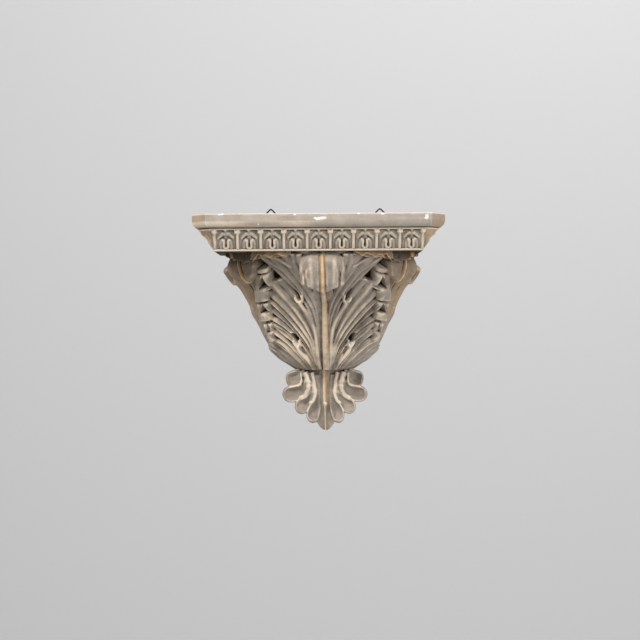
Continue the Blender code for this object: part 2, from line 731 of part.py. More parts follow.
def hanging_loop(name, x, group, material):
    """Bent wire: two legs up out of the plaster and a pitched top between them."""
    foot = SHELF_TOP - NOTCH_HEIGHT - SOCKET_DEPTH + WIRE_GAP
    bend = SHELF_TOP + LOOP_BEND_HEIGHT - WIRE / 2
    apex = SHELF_TOP + LOOP_RISE - WIRE / 2
    half = LOOP_WIDTH / 2
    left = [(-half, foot), (-half, bend - 0.002), (-half + 0.0006, bend - 0.0005), (-0.0022, apex - 0.0012)]
    path = left + [(0.0, apex)] + [(-a, b) for a, b in reversed(left)]
    curve = bpy.data.curves.new(name, "CURVE")
    curve.dimensions = "3D"
    curve.bevel_depth = WIRE / 2
    curve.bevel_resolution = 2
    curve.use_fill_caps = True
    spline = curve.splines.new("POLY")
    spline.points.add(len(path) - 1)
    for point, (side, height) in zip(spline.points, path):
        point.co = (x + side, -LOOP_FROM_WALL, height, 1)
    wire = bpy.data.objects.new(name + "_path", curve)
    group.objects.link(wire)
    mesh = evaluated_mesh(wire)
    shape = bmesh.new()
    shape.from_mesh(mesh)
    bmesh.ops.remove_doubles(shape, verts=shape.verts, dist=0.00001)
    bmesh.ops.recalc_face_normals(shape, faces=shape.faces)
    shape.to_mesh(mesh)
    shape.free()
    mesh.name = name
    loop = bpy.data.objects.new(name, mesh)
    loop.matrix_world = wire.matrix_world
    group.objects.link(loop)
    bpy.data.objects.remove(wire, do_unlink=True)
    mesh.materials.clear()
    mesh.materials.append(material)
    mesh.shade_smooth()
    return loop


def main():
    clear_scene()
    parts = new_collection("plaster_pedestal_shelf")
    cutters = new_collection("cutters")
    plaster = plain_material("painted_plaster", (0.28, 0.26, 0.24), 0.72, 0.0)
    iron = plain_material("dark_iron_wire", (0.05, 0.045, 0.045), 0.55, 0.9)
    plaster_bracket(parts, cutters, plaster)
    hanging_loop("hanging_loop_left", LOOP_LEFT, parts, iron)
    hanging_loop("hanging_loop_right", LOOP_RIGHT, parts, iron)


main()
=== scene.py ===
import math

import bmesh
import bpy
import numpy as np
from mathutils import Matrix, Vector


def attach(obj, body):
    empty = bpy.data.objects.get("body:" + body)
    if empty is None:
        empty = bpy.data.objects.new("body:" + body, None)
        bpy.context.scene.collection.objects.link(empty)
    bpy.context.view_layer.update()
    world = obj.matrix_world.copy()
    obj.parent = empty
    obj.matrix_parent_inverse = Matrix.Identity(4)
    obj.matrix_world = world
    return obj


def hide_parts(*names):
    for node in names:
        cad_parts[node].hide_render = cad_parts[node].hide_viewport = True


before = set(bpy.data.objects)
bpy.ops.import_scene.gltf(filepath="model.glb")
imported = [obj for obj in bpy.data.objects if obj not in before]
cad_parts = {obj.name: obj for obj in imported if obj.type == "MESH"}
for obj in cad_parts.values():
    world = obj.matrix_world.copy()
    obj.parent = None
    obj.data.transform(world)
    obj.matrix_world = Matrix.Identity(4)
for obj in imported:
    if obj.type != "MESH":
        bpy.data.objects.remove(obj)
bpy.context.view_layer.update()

# A carved plaster wall shelf. Metres; the wall is y = 0, the front looks along -y.
# The moulding is one numpy grid; the leaves are numpy shells melted into one skin.

sceneSize = {"wallGap": 1.9, "floor": -1.9, "reach": 6.0}
shelf = {
    "width": 0.381, "depth": 0.200, "top": 0.018, "clipAcross": 0.022, "clipDeep": 0.030,
    "slab": 0.0204, "arris": 0.0016, "ovolo": 0.0110, "ovoloIn": 0.0090, "quirk": 0.0022,
    "fillet": 0.0036, "frieze": 0.0275, "friezeIn": 0.0225, "bead": 0.0037, "beadOut": 0.0016,
    "pitch": 0.0347, "relief": 0.0034,
}
bell = {
    "height": 0.1824, "topRadius": 0.160, "neckRadius": 0.043, "core": 0.009,
    "shares": (0, .04, .10, .18, .30, .45, .60, .72, .83, .93, 1),
    "swell": (0, .10, .23, .34, .43, .525, .62, .72, .85, .95, 1),
    "leanTop": 0.0048, "leanBottom": 0.0095,
}
drop = {"length": 0.0965, "width": 0.134, "depth": 0.040, "tipDepth": 0.026, "back": 0.006}

half = shelf["width"] / 2
slabBottom = shelf["top"] - shelf["slab"]
friezeTop = slabBottom - shelf["fillet"]
friezeBottom = friezeTop - shelf["frieze"]
soffit = friezeBottom - shelf["bead"]
friezeTopIn = shelf["ovoloIn"] + shelf["quirk"]
friezeBottomIn = friezeTopIn + shelf["friezeIn"]
neck = soffit - bell["height"]
dropTip = neck - drop["length"]
bossHeight = neck - 0.56 * drop["length"]


def linear(hexColour):
    # sRGB hex to linear RGBA
    parts = [int(hexColour[i:i + 2], 16) / 255 for i in (1, 3, 5)]
    return [p / 12.92 if p <= 0.04045 else ((p + 0.055) / 1.055) ** 2.4 for p in parts] + [1.0]


def smooth(value, low, high):
    # 0 below low, 1 above high, an S curve between
    x = np.clip((value - low) / (high - low), 0, 1)
    return x * x * (3 - 2 * x)


def hill(value, centre, width):
    # a cosine hump: 1 at the centre, 0 a width away
    return 0.5 + 0.5 * np.cos(np.pi * np.clip(np.abs(value - centre) / width, 0, 1))


def pathThrough(points, s):
    # Catmull-Rom: each span is the cubic whose slope at a point is half the chord of its neighbours
    p = np.array(points, float)
    p = np.vstack([2 * p[0] - p[1], p, 2 * p[-1] - p[-2]])
    place = np.clip(s, 0, 1) * (len(points) - 1)
    span = np.minimum(place.astype(int), len(points) - 2)
    t = (place - span)[..., None]
    a, b, c, d = p[span], p[span + 1], p[span + 2], p[span + 3]
    square, cube = 2 * a - 5 * b + 4 * c - d, 3 * b - a - 3 * c + d
    return 0.5 * (2 * b + (c - a) * t + square * t ** 2 + cube * t ** 3)


def noise(points, size, seed=0):
    # value noise from -1 to 1: hashed lattice corners blended by S curves
    q = points / size + 37.7
    cell = np.floor(q).astype(np.int64)
    f = q - cell
    f = f * f * (3 - 2 * f)
    total = 0
    for corner in range(8):
        step = np.array([corner & 1, corner >> 1 & 1, corner >> 2 & 1])
        c = cell + step
        mix = c[..., 0] * 73856093 ^ c[..., 1] * 19349663 ^ c[..., 2] * 83492791 ^ seed * 2654435
        mix = (mix ^ mix >> 13) * 1274126177 & 0x7fffffff
        weight = np.prod(np.where(step == 1, f, 1 - f), axis=-1)
        total = total + weight * ((mix >> 7) % 4096 / 2047.5 - 1)
    return total


def leanAt(z):
    # the carving stands a little right of the shelf's centre, more so lower down
    share = (soffit - z) / (soffit - dropTip)
    return bell["leanTop"] + (bell["leanBottom"] - bell["leanTop"]) * np.clip(share, 0, 1)


def ribShift(z):
    # below the hanging tip the rib runs a little further right than the leaves do
    return 0.0024 * smooth(soffit - z, 0.055, 0.085)


def between(outer, inner):
    # closed shell: two grids of one shape, joined round their rims
    rows, cols = outer.shape[:2]
    points = np.concatenate([outer.reshape(-1, 3), inner.reshape(-1, 3)])
    i = np.arange(rows * cols).reshape(rows, cols)
    front = np.stack([i[:-1, :-1], i[:-1, 1:], i[1:, 1:], i[1:, :-1]], -1).reshape(-1, 4)
    rim = np.concatenate([i[0, :-1], i[:-1, -1], i[-1, :0:-1], i[:0:-1, 0]])
    after = np.roll(rim, -1)
    n = rows * cols
    sides = np.stack([after, rim, rim + n, after + n], -1)
    return points, np.concatenate([front, front[:, ::-1] + n, sides])


def newMesh(name, shells):
    # one mesh of several shells, each turned so that its volume is positive
    allPoints, allQuads, start = [], [], 0
    for points, quads in shells:
        a, b, c, d = (points[quads[:, k]] for k in range(4))
        volume = np.sum(a * np.cross(b, c)) + np.sum(a * np.cross(c, d))
        allPoints.append(points)
        allQuads.append((quads if volume > 0 else quads[:, ::-1]) + start)
        start += len(points)
    points, quads = np.concatenate(allPoints), np.concatenate(allQuads)
    mesh = bpy.data.meshes.new(name)
    mesh.vertices.add(len(points))
    mesh.vertices.foreach_set("co", points.astype(np.float32).ravel())
    mesh.loops.add(quads.size)
    mesh.loops.foreach_set("vertex_index", quads.astype(np.int32).ravel())
    mesh.polygons.add(len(quads))
    mesh.polygons.foreach_set("loop_start", np.arange(0, quads.size, 4, dtype=np.int32))
    mesh.update(calc_edges=True)
    mesh.validate()
    piece = bpy.data.objects.new(name, mesh)
    bpy.context.scene.collection.objects.link(piece)
    return piece


def bake(piece):
    # puts the modifiers into the mesh
    graph = bpy.context.evaluated_depsgraph_get()
    mesh = bpy.data.meshes.new_from_object(piece.evaluated_get(graph))
    piece.modifiers.clear()
    old, piece.data = piece.data, mesh
    bpy.data.meshes.remove(old)


def cut(piece, other):
    # takes another closed shape out of the piece
    step = piece.modifiers.new("cut", "BOOLEAN")
    step.operation, step.solver, step.object = "DIFFERENCE", "MANIFOLD", other
    bake(piece)
    bpy.data.objects.remove(other, do_unlink=True)


def block(name, low, high):
    # a box from two corners, only ever used to cut with
    mesh = bpy.data.meshes.new(name)
    shape = bmesh.new()
    bmesh.ops.create_cube(shape, size=1.0)
    low, high = np.array(low), np.array(high)
    bmesh.ops.scale(shape, verts=shape.verts, vec=high - low)
    bmesh.ops.translate(shape, verts=shape.verts, vec=(low + high) / 2)
    shape.to_mesh(mesh)
    shape.free()
    piece = bpy.data.objects.new(name, mesh)
    bpy.context.scene.collection.objects.link(piece)
    return piece


def readField(data, field, width, kind=np.float64):
    values = np.empty(len(data) * width, kind)
    data.foreach_get(field, values)
    return values.reshape(-1, width) if width > 1 else values


def spread(values, edges, times, share=1.0):
    # each round moves a point's value to the mean of its neighbours' by that share
    n = len(values)
    ends = np.concatenate([edges[:, 0], edges[:, 1]])
    others = np.concatenate([edges[:, 1], edges[:, 0]])
    count = np.maximum(np.bincount(ends, minlength=n), 1)
    for _ in range(times):
        sums = [np.bincount(ends, values[others, k], n) for k in range(values.shape[1])]
        mean = np.stack(sums, -1) / count[:, None]
        values = values + share * (mean - values)
    return values


def relax(piece, times, share):
    # rounds off the skin a little, as coats of paint do
    mesh = piece.data
    points = readField(mesh.vertices, "co", 3)
    edges = readField(mesh.edges, "vertices", 2, np.int32)
    mesh.vertices.foreach_set("co", spread(points, edges, times, share).astype(np.float32).ravel())
    mesh.update()


def addField(mesh, name, values):
    field = mesh.attributes.new(name, "FLOAT", "POINT")
    field.data.foreach_set("value", np.clip(values, 0, 1).astype(np.float32))


def triangleCount(piece):
    return int(np.sum(readField(piece.data.polygons, "loop_total", 1, np.int32) - 2))


# Moulding of the shelf

def planCorners(inset):
    # half the plan: two parallel faces and the clip between, each moved in by the inset
    length = math.hypot(shelf["clipAcross"], shelf["clipDeep"])
    nx, ny = shelf["clipDeep"] / length, shelf["clipAcross"] / length
    reach = nx * half + ny * (shelf["depth"] - shelf["clipDeep"]) - inset
    side, front = half - inset, shelf["depth"] - inset
    return side, (reach - nx * side) / ny, (reach - ny * front) / nx, front


def friezeFace(share):
    travel = share + 0.06 * np.sin(2 * np.pi * share)
    return friezeBottomIn - shelf["friezeIn"] * travel, friezeBottom + shelf["frieze"] * share


def segmentGap(u, v, path):
    # distance from each place to a broken line
    best = np.full(np.broadcast(u, v).shape, 1e9)
    for (ax, ay), (bx, by) in zip(path[:-1], path[1:]):
        dx, dy = bx - ax, by - ay
        t = np.clip(((u - ax) * dx + (v - ay) * dy) / (dx * dx + dy * dy), 0, 1)
        best = np.minimum(best, np.hypot(u - ax - t * dx, v - ay - t * dy))
    return best


motif = {
    "halfPitch": 11.55, "rise": 18.0,  # the motif is drawn on a grid of 1.5 mm units
    "bar": ((0, -1), (0, 15.5)), "knob": ((-1.0, 16.8), (1.0, 16.8)),
    "petal": ((3.1, -1), (3.0, 7.0), (3.3, 11.0), (2.8, 14.0)),
    "strand": ((6.3, -1), (6.2, 5.2), (6.9, 8.0), (8.2, 9.2), (9.2, 8.6), (9.4, 5.5), (9.2, 3.2),
               (10.0, 1.6), (11.55, 1.0)),
    "wing": ((4.4, 11.2), (6.6, 13.4), (8.8, 14.9), (10.2, 14.7)),
    "wingFoot": ((11.55, 12.2), (11.55, 17.5)),
    "slit": ((5.4, 10.2), (9.4, 12.4)), "gap": ((3.6, 17.6), (9.8, 17.6)),
    "pit": ((11.55, 3.6), (11.55, 5.2)), "pitTop": ((11.55, 5.2), (11.55, 8.8)),
}


def motifPlace(run, phase, share):
    turn = np.abs((run - phase) / shelf["pitch"] - np.round((run - phase) / shelf["pitch"]))
    return turn * 2 * motif["halfPitch"], share * motif["rise"]


def motifRub(run, phase, share):
    # where the motif is rubbed palest: the bar with its knob, and the U round the pit
    u, v = motifPlace(run, phase, share)
    bar = np.minimum(segmentGap(u, v, motif["bar"]) - 0.2, segmentGap(u, v, motif["knob"]) - 0.9)
    wing = segmentGap(u, v, motif["wing"])
    loop = segmentGap(u, v, motif["strand"][3:])
    return np.maximum.reduce([1 - smooth(bar, 0.6, 1.6), 0.85 * (1 - smooth(loop, 0.4, 1.4)),
                              0.65 * (1 - smooth(wing, 0.2, 1.8))])


def motifRelief(run, phase, share):
    # leaf and dart: the highest of several rounded strands, less the slits and the teardrop pit
    u, v = motifPlace(run, phase, share)

    def strand(path, wide, high):
        return high * np.sqrt(np.clip(1 - (segmentGap(u, v, path) / wide) ** 2, 0, 1))

    relief = np.maximum.reduce([
        strand(motif["bar"], 1.6, 1.15), strand(motif["knob"], 2.0, 1.5), strand(motif["petal"], 1.5, 0.60),
        strand(motif["strand"], 1.85, 0.95), strand(motif["wing"], 2.7, 0.85),
        strand(motif["wingFoot"], 2.3, 0.75),
        0.30 + 0 * u])
    relief = relief - 0.8 * smooth(-segmentGap(u, v, motif["slit"]), -1.0, -0.20)
    relief = relief - 0.6 * smooth(-segmentGap(u, v, motif["gap"]), -1.2, -0.3) * (u > 2.6)
    relief = relief - 1.3 * smooth(-segmentGap(u, v, motif["pit"]), -1.6, -0.7)
    relief = relief - 1.0 * smooth(-segmentGap(u, v, motif["pitTop"]), -1.0, -0.30)
    return np.maximum(relief, -1.1)


def cornerRelief(across, share):
    # a leaf folded over each mitre: two bellied halves and a rib on the fold
    fold = np.abs(across - 0.5) * 2
    belly = np.sin(np.pi * np.clip(fold, 0, 1)) ** 0.8
    rib = np.sqrt(np.clip(1 - ((1 - fold) / 0.16) ** 2, 0, 1))
    veins = 0.12 * np.sin(share * 22 - fold * 5) * belly
    return np.maximum(belly * 0.75 + veins, rib * 1.05) * (0.35 + 0.65 * smooth(1 - share, 0.02, 0.25))


def mouldingRows():
    # inset, height, share up the frieze (-1 off it), one row each
    rows = [(shelf["arris"] * (1 - math.sin(t)), shelf["top"] - shelf["arris"] * (1 - math.cos(t)), -1)
            for t in np.linspace(0, math.pi / 2, 5)]
    face = np.linspace(shelf["top"] - shelf["arris"], slabBottom + shelf["ovolo"], 14)[1:]
    rows += [(0.0, z, -1) for z in face]
    rows += [(shelf["ovoloIn"] * (1 - math.cos(t)), slabBottom + shelf["ovolo"] * (1 - math.sin(t)), -1)
             for t in np.linspace(0, math.pi / 2, 12)[1:]]
    rows += [(friezeTopIn, slabBottom, -1), (friezeTopIn + 0.0008, slabBottom - 0.0004, -1)]
    lip = friezeTopIn - shelf["quirk"] / 2
    rows += [(lip, slabBottom - shelf["fillet"] / 3, -1)]
    rows += [(lip - 0.0004, slabBottom - shelf["fillet"] * 0.6, -1)]
    rows += [(lip, friezeTop, -1)]
    for share in np.linspace(1, 0, 46):
        inset, height = friezeFace(share)
        rows.append((inset + 0.0030, height, share))
    beadIn = friezeBottomIn - shelf["beadOut"]
    for t in np.linspace(0.15, math.pi, 6):
        height = friezeBottom - shelf["bead"] * (1 - math.cos(t)) / 2
        rows.append((beadIn + 0.0018 * (1 - math.sin(t)), height, -1))
    return rows


def shelfMoulding():
    # each row is the plan ring at its inset; the relief is taken off the inset, so mitres stay closed
    rows = np.array(mouldingRows())
    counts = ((150, 40, 500, 40, 150))
    where, along = [], []
    for segment, count in enumerate(counts):
        t = np.linspace(0, 1, count + 1)[:-1] if segment < 4 else np.linspace(0, 1, count)
        where.append(np.full(len(t), segment))
        along.append(t)
    where, along = np.concatenate(where), np.concatenate(along)

    def place(inset):
        side, sideEnd, frontEnd, front = planCorners(inset)
        o = np.zeros_like(inset)
        corners = [(-side, o), (-side, -sideEnd), (-frontEnd, -front),
                   (frontEnd, -front), (side, -sideEnd), (side, o)]

        def mixed(axis):
            # straight from each corner to the next
            spans = zip(range(5), corners[:-1], corners[1:])
            return sum(np.where(where == k, a[axis] * (1 - along) + b[axis] * along, 0) for k, a, b in spans)
        return mixed(0), mixed(1)

    ground = 0.3  # the motif's plain ground, as in motifRelief
    inset = rows[:, 0][:, None] + 0 * along[None, :]
    share = rows[:, 2][:, None]
    height = rows[:, 1][:, None] + 0 * along[None, :]
    x, y = place(inset)
    sidePhase = planCorners(friezeBottomIn)[1] - 0.85 * shelf["pitch"]
    onFront = motifRelief(x, shelf["pitch"] / 2, share)
    onSide = motifRelief(-y, sidePhase, share)
    onClip = cornerRelief(along[None, :] + 0 * share, share)
    _, sideEnd, frontEnd, _ = planCorners(inset)
    nearFront = smooth(frontEnd - np.abs(x), 0.0, 0.006)
    nearSide = smooth(sideEnd + y, 0.0, 0.006)
    clip = (where == 1) | (where == 3)
    onFront = onFront * nearFront + ground * (1 - nearFront)
    onSide = onSide * nearSide + ground * (1 - nearSide)
    relief = np.where(where == 2, onFront, np.where(clip, onClip, onSide))
    ends = np.where(clip, hill(np.abs(along - 0.5), 0.5, 0.06), 0.0)
    relief = relief * (1 - ends) + ground * ends
    relief = np.where(share >= 0, relief, 0)
    slope = math.atan2(shelf["frieze"], shelf["friezeIn"])
    stand = relief * shelf["relief"]
    inset = inset - stand * math.sin(slope)
    height = height - stand * math.cos(slope) * (share >= 0)

    # years of knocks: slow waves on the slab, a nibbled arris, and the chips the photograph shows
    rough = np.stack([x, y, height], -1)
    onSlab = smooth(height, friezeTop, slabBottom)
    inset = inset + onSlab * (0.00025 * noise(rough, 0.030, 3) + 0.00012 * noise(rough, 0.006, 4))
    nibble = np.clip(noise(rough, 0.007, 5) + 0.4 * noise(rough, 0.0025, 6) - 0.15, 0, 1)
    inset = inset + 0.0011 * nibble * smooth(height, shelf["top"] - 0.004, shelf["top"])
    inset = inset + 0.0007 * chipMask(rough) * onSlab
    x, y = place(inset)
    face = np.stack([x, y, height + 0 * x], -1)

    # top: rings drawn in towards the middle of the back; soffit the same, closed by the wall face
    def cap(edge, steps):
        centre = np.array([0.0, 0.0, 0.0])
        shares = np.array(steps)[:, None, None]
        rings = edge[None] * (1 - shares) + centre * shares
        rings[..., 2] = edge[..., 2].mean()
        return rings
    steps = (0.005, 0.02, 0.06, 0.15, 0.35, 0.65, 1.0)
    top = cap(face[0], steps)[::-1]
    below = cap(face[-1], steps)
    top[..., 2] = shelf["top"]
    below[..., 2] = soffit
    grid = np.concatenate([top, face, below])
    n, cols = grid.shape[:2]
    i = np.arange(n * cols).reshape(n, cols)
    quads = np.stack([i[:-1, :-1], i[1:, :-1], i[1:, 1:], i[:-1, 1:]], -1).reshape(-1, 4)
    # the wall face joins the two ends of each row, cut where the rings of the top and soffit meet it
    ringShares = np.array((0,) + steps)[None, :, None]
    wall = np.concatenate([face[:, :1] * (1 - ringShares), face[:, -1:] * (1 - ringShares[:, -2::-1])], 1)
    wall[..., 1], wall[..., 2] = 0.0, face[:, :1, 2]
    w = np.arange(wall.shape[0] * wall.shape[1]).reshape(wall.shape[:2]) + n * cols
    wallQuads = np.stack([w[:-1, :-1], w[:-1, 1:], w[1:, 1:], w[1:, :-1]], -1).reshape(-1, 4)
    points = np.concatenate([grid.reshape(-1, 3), wall.reshape(-1, 3)])
    points[np.abs(points[:, 1]) < 1e-7, 1] = 0.0
    piece = newMesh("plasterShelf", [(points, np.concatenate([quads, wallQuads]))])
    shape = bmesh.new()
    shape.from_mesh(piece.data)
    bmesh.ops.remove_doubles(shape, verts=shape.verts, dist=0.000001)
    shape.to_mesh(piece.data)
    shape.free()
    return piece


chips = {
    # x from the centre, z, half width, half height, in metres, on the front of the slab
    "front": ((0.0012, 0.0105, 0.0085, 0.0026), (0.0085, 0.0112, 0.0040, 0.0020),
              (-0.0350, 0.0165, 0.0030, 0.0012), (0.1605, 0.0118, 0.0030, 0.0042),
              (0.0950, 0.0170, 0.0040, 0.0010), (-0.1450, 0.0168, 0.0050, 0.0011),
              (-0.0900, 0.0020, 0.0025, 0.0012), (0.0600, 0.0172, 0.0025, 0.0009)),
}


def chipMask(points):
    # ragged spots where the paint is off down to white plaster
    ragged = 0.45 * noise(points, 0.0035, 8) + 0.3 * noise(points, 0.0014, 9)
    total = np.zeros(points.shape[:-1])
    for x, z, wide, high in chips["front"]:
        gap = np.hypot((points[..., 0] - x) / wide, (points[..., 2] - z) / high)
        total = np.maximum(total, smooth(-(gap + ragged), -1.1, -0.65))
    return total * (points[..., 1] < -0.15)


# Bell of leaves

def bellRadius(share):
    swell = np.interp(share, bell["shares"], bell["swell"])
    return bell["neckRadius"] + (bell["topRadius"] - bell["neckRadius"]) * swell


def onBell(angle, share, lift):
    # a turned surface: the radius at a share of the height, and the lift along its outward normal
    step = 0.02
    run = bellRadius(share + step) - bellRadius(share - step)
    rise = 2 * step * bell["height"]
    length = np.hypot(run, rise)
    radius = bellRadius(share) + lift * rise / length
    z = neck + share * bell["height"] - lift * run / length
    turn = np.radians(angle)
    return np.stack([-radius * np.sin(turn), -radius * np.cos(turn), z + 0 * turn], -1)


def bothSides(outer, inner, mirrored=True):
    shells = []
    for side in (1, -1) if mirrored else (1,):
        points, quads = between(outer * [side, 1, 1], inner * [side, 1, 1])
        points = points + 0.00035 * np.stack([noise(points, 0.011, k) for k in (11, 12, 13)], -1)
        points[:, 0] += leanAt(points[:, 2])
        shells.append((points, quads))
    return shells


def gridShares(rows, cols):
    # shares from 0 to 1 down the rows and along the columns of a grid
    return np.linspace(0, 1, rows)[:, None], np.linspace(0, 1, cols)[None, :]


# Lobes of the left half-leaf from the middle down. Each is a fan of crest lines, the uppermost first,
# from the neck to the tips; every line is (angle from the front, share of the bell's height) points.
# soft: flutes are round bands (1) or hollows between sharp arrises (0). crests: extra height of a line.
leafLobes = {
    "upper": {
        "lines": (((3.0, .068), (2.0, .36), (2.5, .57), (4.8, .70), (8.0, .85), (9.8, 1.02)),
                  ((4.5, .068), (4.0, .32), (5.2, .53), (10.2, .684), (16.8, .83), (21.8, 1.03)),
                  ((5.5, .068), (5.2, .32), (7.2, .50), (13.0, .642), (21.2, .80), (32.5, 1.03)),
                  ((6.5, .068), (6.8, .30), (9.4, .462), (14.6, .60), (21.8, .74), (36, .960))),
        "deep": 0.0052, "tilt": 0.004, "rise": -0.002, "crown": 0.0030, "soft": 0.95,
        "past": 0.28},
    "middle": {
        "lines": (((8.2, .068), (8.8, .278), (12.6, .438), (18.6, .582), (22.5, .678), (27.4, .785)),
                  ((9.0, .068), (10.2, .254), (15.8, .396), (23.0, .532), (30.5, .662), (36.2, .79)),
                  ((10.2, .068), (12.2, .228), (19.0, .362), (27.2, .49), (34.5, .592), (41.2, .70)),
                  ((11.5, .068), (15.0, .21), (22.2, .336), (30.8, .456), (36.8, .54), (43.0, .62))),
        "deep": 0.0054, "tilt": 0.0030, "rise": 0.003, "teeth": 0.02, "crown": 0.0035, "soft": 0.85,
        "crests": (0, 0, 0, 0.0022), "past": 0.20},
    "middleLow": {
        "lines": (((13.0, .068), (17.2, .198), (24.5, .312), (33.2, .418), (40.2, .498), (48.0, .575)),
                  ((14.2, .068), (18.8, .18), (25.5, .278), (33.2, .366), (40.5, .43), (49.0, .49)),
                  ((16.0, .068), (20.5, .166), (26.0, .240), (33.0, .320), (40.0, .385), (49.5, .44))),
        "deep": 0.0078, "tilt": 0.0010, "rise": 0.005, "teeth": 0.04, "crown": 0.0030, "soft": 0.15,
        "crests": (0.0006, 0.0010, 0.0004)},
    "lower": {
        "lines": (((20.2, .068), (23.5, .128), (28.0, .194), (32.2, .262), (37.0, .312), (45.5, .400)),
                  ((24.8, .068), (29.0, .142), (34.5, .21), (40.2, .27), (45.2, .32), (52.5, .39)),
                  ((31.8, .068), (35.0, .132), (39.2, .188), (44.5, .236), (50.8, .274), (58.2, .312))),
        "deep": 0.0072, "tilt": 0.0030, "rise": 0.006, "teeth": 0.08, "crown": 0.0030, "soft": 0.2,
        "crests": (0.0004, 0, 0.0010)},
    "lowest": {
        "lines": (((37.0, .062), (39.5, .116), (43.5, .166), (48.2, .20), (54.0, .23), (65, .262)),
                  ((45.2, .058), (48.5, .10), (53.0, .152), (56.5, .186), (63.0, .208), (74, .238)),
                  ((57.8, .056), (60.5, .09), (63.8, .13), (66.0, .172), (71.2, .192), (80, .220)),
                  ((74.0, .045), (76.0, .08), (79.0, .115), (82.0, .145), (85.0, .175), (89, .205))),
        "deep": 0.005, "tilt": 0.0010, "rise": 0.002, "crown": 0.0015, "soft": 0.2,
        "crests": (0.0008, 0, 0, 0),
        "rounded": 0.06},
}
for lobe in leafLobes.values():
    # each line starts just below the neck, straight under its first point
    lobe["lines"] = [((line[0][0], -0.02),) + line for line in lobe["lines"]]

cornerLobes = {
    "inner": {
        "lines": (((64, .30), (57, .47), (50, .62), (44, .80), (40, .93)),
                  ((66, .30), (60, .47), (54, .62), (49, .80), (46, .95)),
                  ((68, .30), (63, .47), (58, .62), (54, .80), (52, .95))),
        "deep": 0.0030, "tilt": 0, "rise": 0.004, "teeth": 0.04, "crown": 0.001, "soft": 0.5},
    "outer": {
        "lines": (((70, .30), (64, .45), (59, .58), (55, .76), (54, .90)),
                  ((74, .31), (69, .46), (65, .59), (62, .76), (61, .88)),
                  ((78, .33), (74, .47), (71, .58), (70, .72), (70, .84))),
        "deep": 0.0056, "tilt": 0.003, "rise": 0.008, "crown": 0.002, "soft": 0.5, "crests": (0, 0, 0.001),
        "rounded": 0.16},
    "wall": {
        "lines": (((79, .30), (76, .46), (73, .62), (72, .74), (72, .84)),
                  ((85, .31), (82, .47), (80, .62), (79, .76), (79, .88)),
                  ((91, .32), (89, .47), (88, .61), (87, .76), (87, .90)),
                  ((97, .33), (96, .47), (95, .60), (94, .76), (94, .90))),
        "deep": 0.0056, "tilt": 0.002, "rise": 0.003, "crown": 0.002, "soft": 0.8,
        "rounded": 0.20},
    "wallLow": {
        "lines": (((72, .16), (74, .26), (76, .34), (77, .45), (77, .55)),
                  ((80, .14), (81, .24), (82, .33), (82, .44), (82, .55)),
                  ((88, .11), (88, .21), (88, .30), (88, .41), (88, .52)),
                  ((96, .08), (95.5, .18), (95, .28), (94.5, .39), (94, .50))),
        "deep": 0.0036, "tilt": 0.001, "rise": 0.004, "teeth": 0.10, "crown": 0.001, "soft": 0.3},
}


def leafLobe(lines, deep, tilt, rise, crown, soft, teeth=0.0, crests=None, rounded=0.0, past=0.38):
    # fan: a place between two crest lines is their straight blend; the profile across is a wave with
    # its crests on the lines; the whole leans towards its lower edge and turns out at the tips
    count = len(lines)
    rows, cols = gridShares(80, 15 * count + 1)
    place = -past + cols * (count - 1 + 2 * past)
    bands = 2 * np.abs(np.cos(np.pi * place)) ** 0.75 - 1
    arris = 1 - 2 * np.abs(np.sin(np.pi * place)) ** 0.85
    beyond = np.maximum(np.maximum(-place, place - (count - 1)), 0) / past
    wave = np.where(beyond > 0, 1 - 0.4 * beyond ** 2, bands * soft + arris * (1 - soft))
    notch = teeth * (1 - np.abs(np.cos(np.pi * place)) ** 1.4) + rounded * (2 * cols - 1) ** 2
    along = rows * (1 - notch * smooth(rows, 0.5, 1.0))
    runs = [pathThrough(line, along) for line in lines]
    runs = [2 * runs[0] - runs[1]] + runs + [2 * runs[-1] - runs[-2]]
    plan = sum(run * np.clip(1 - np.abs(place - k + 1), 0, 1)[..., None] for k, run in enumerate(runs))
    reach = (0.45 + 0.55 * smooth(along, 0.12, 0.55)) * (1 - 0.4 * smooth(rows, 0.85, 1.0))
    lift = 0.5 * deep * wave * reach + crown * np.sin(np.pi * cols) + tilt * (cols - 0.5)
    if crests:
        lift = lift + np.interp(place, range(count), crests) * np.abs(np.cos(np.pi * place)) ** 3
    lift = lift + 0.0005 + rise * smooth(along, 0.55, 1.0) ** 1.3 - 0.0045 * beyond ** 2
    lift = lift + 0.0006 * hill(rows, 1.0, 0.04)
    outer = onBell(plan[..., 0], plan[..., 1], lift)
    inner = onBell(plan[..., 0], plan[..., 1], 0 * lift - 0.0145)
    return bothSides(outer, inner)


def strandAlong(path, wideStart, wideEnd, lift, surface, mirrored=True):
    # half-round strand: the profile is a half circle whose width changes along the path
    rows, cols = gridShares(60, 13)
    s = rows
    middle = pathThrough(path, s)
    ahead = pathThrough(path, np.clip(s + 0.01, 0, 1)) - pathThrough(path, np.clip(s - 0.01, 0, 1))
    turn = np.pi * (cols - 0.5)
    blunt = 0.04  # share of the path over which the start is rounded
    nose = np.where(s < blunt, np.clip(1 - ((s - blunt) / blunt) ** 2, 0, 1), 1.0)
    width = (wideStart + (wideEnd - wideStart) * s) * np.sqrt(nose)
    return surface(middle, ahead, width, turn, lift, mirrored)


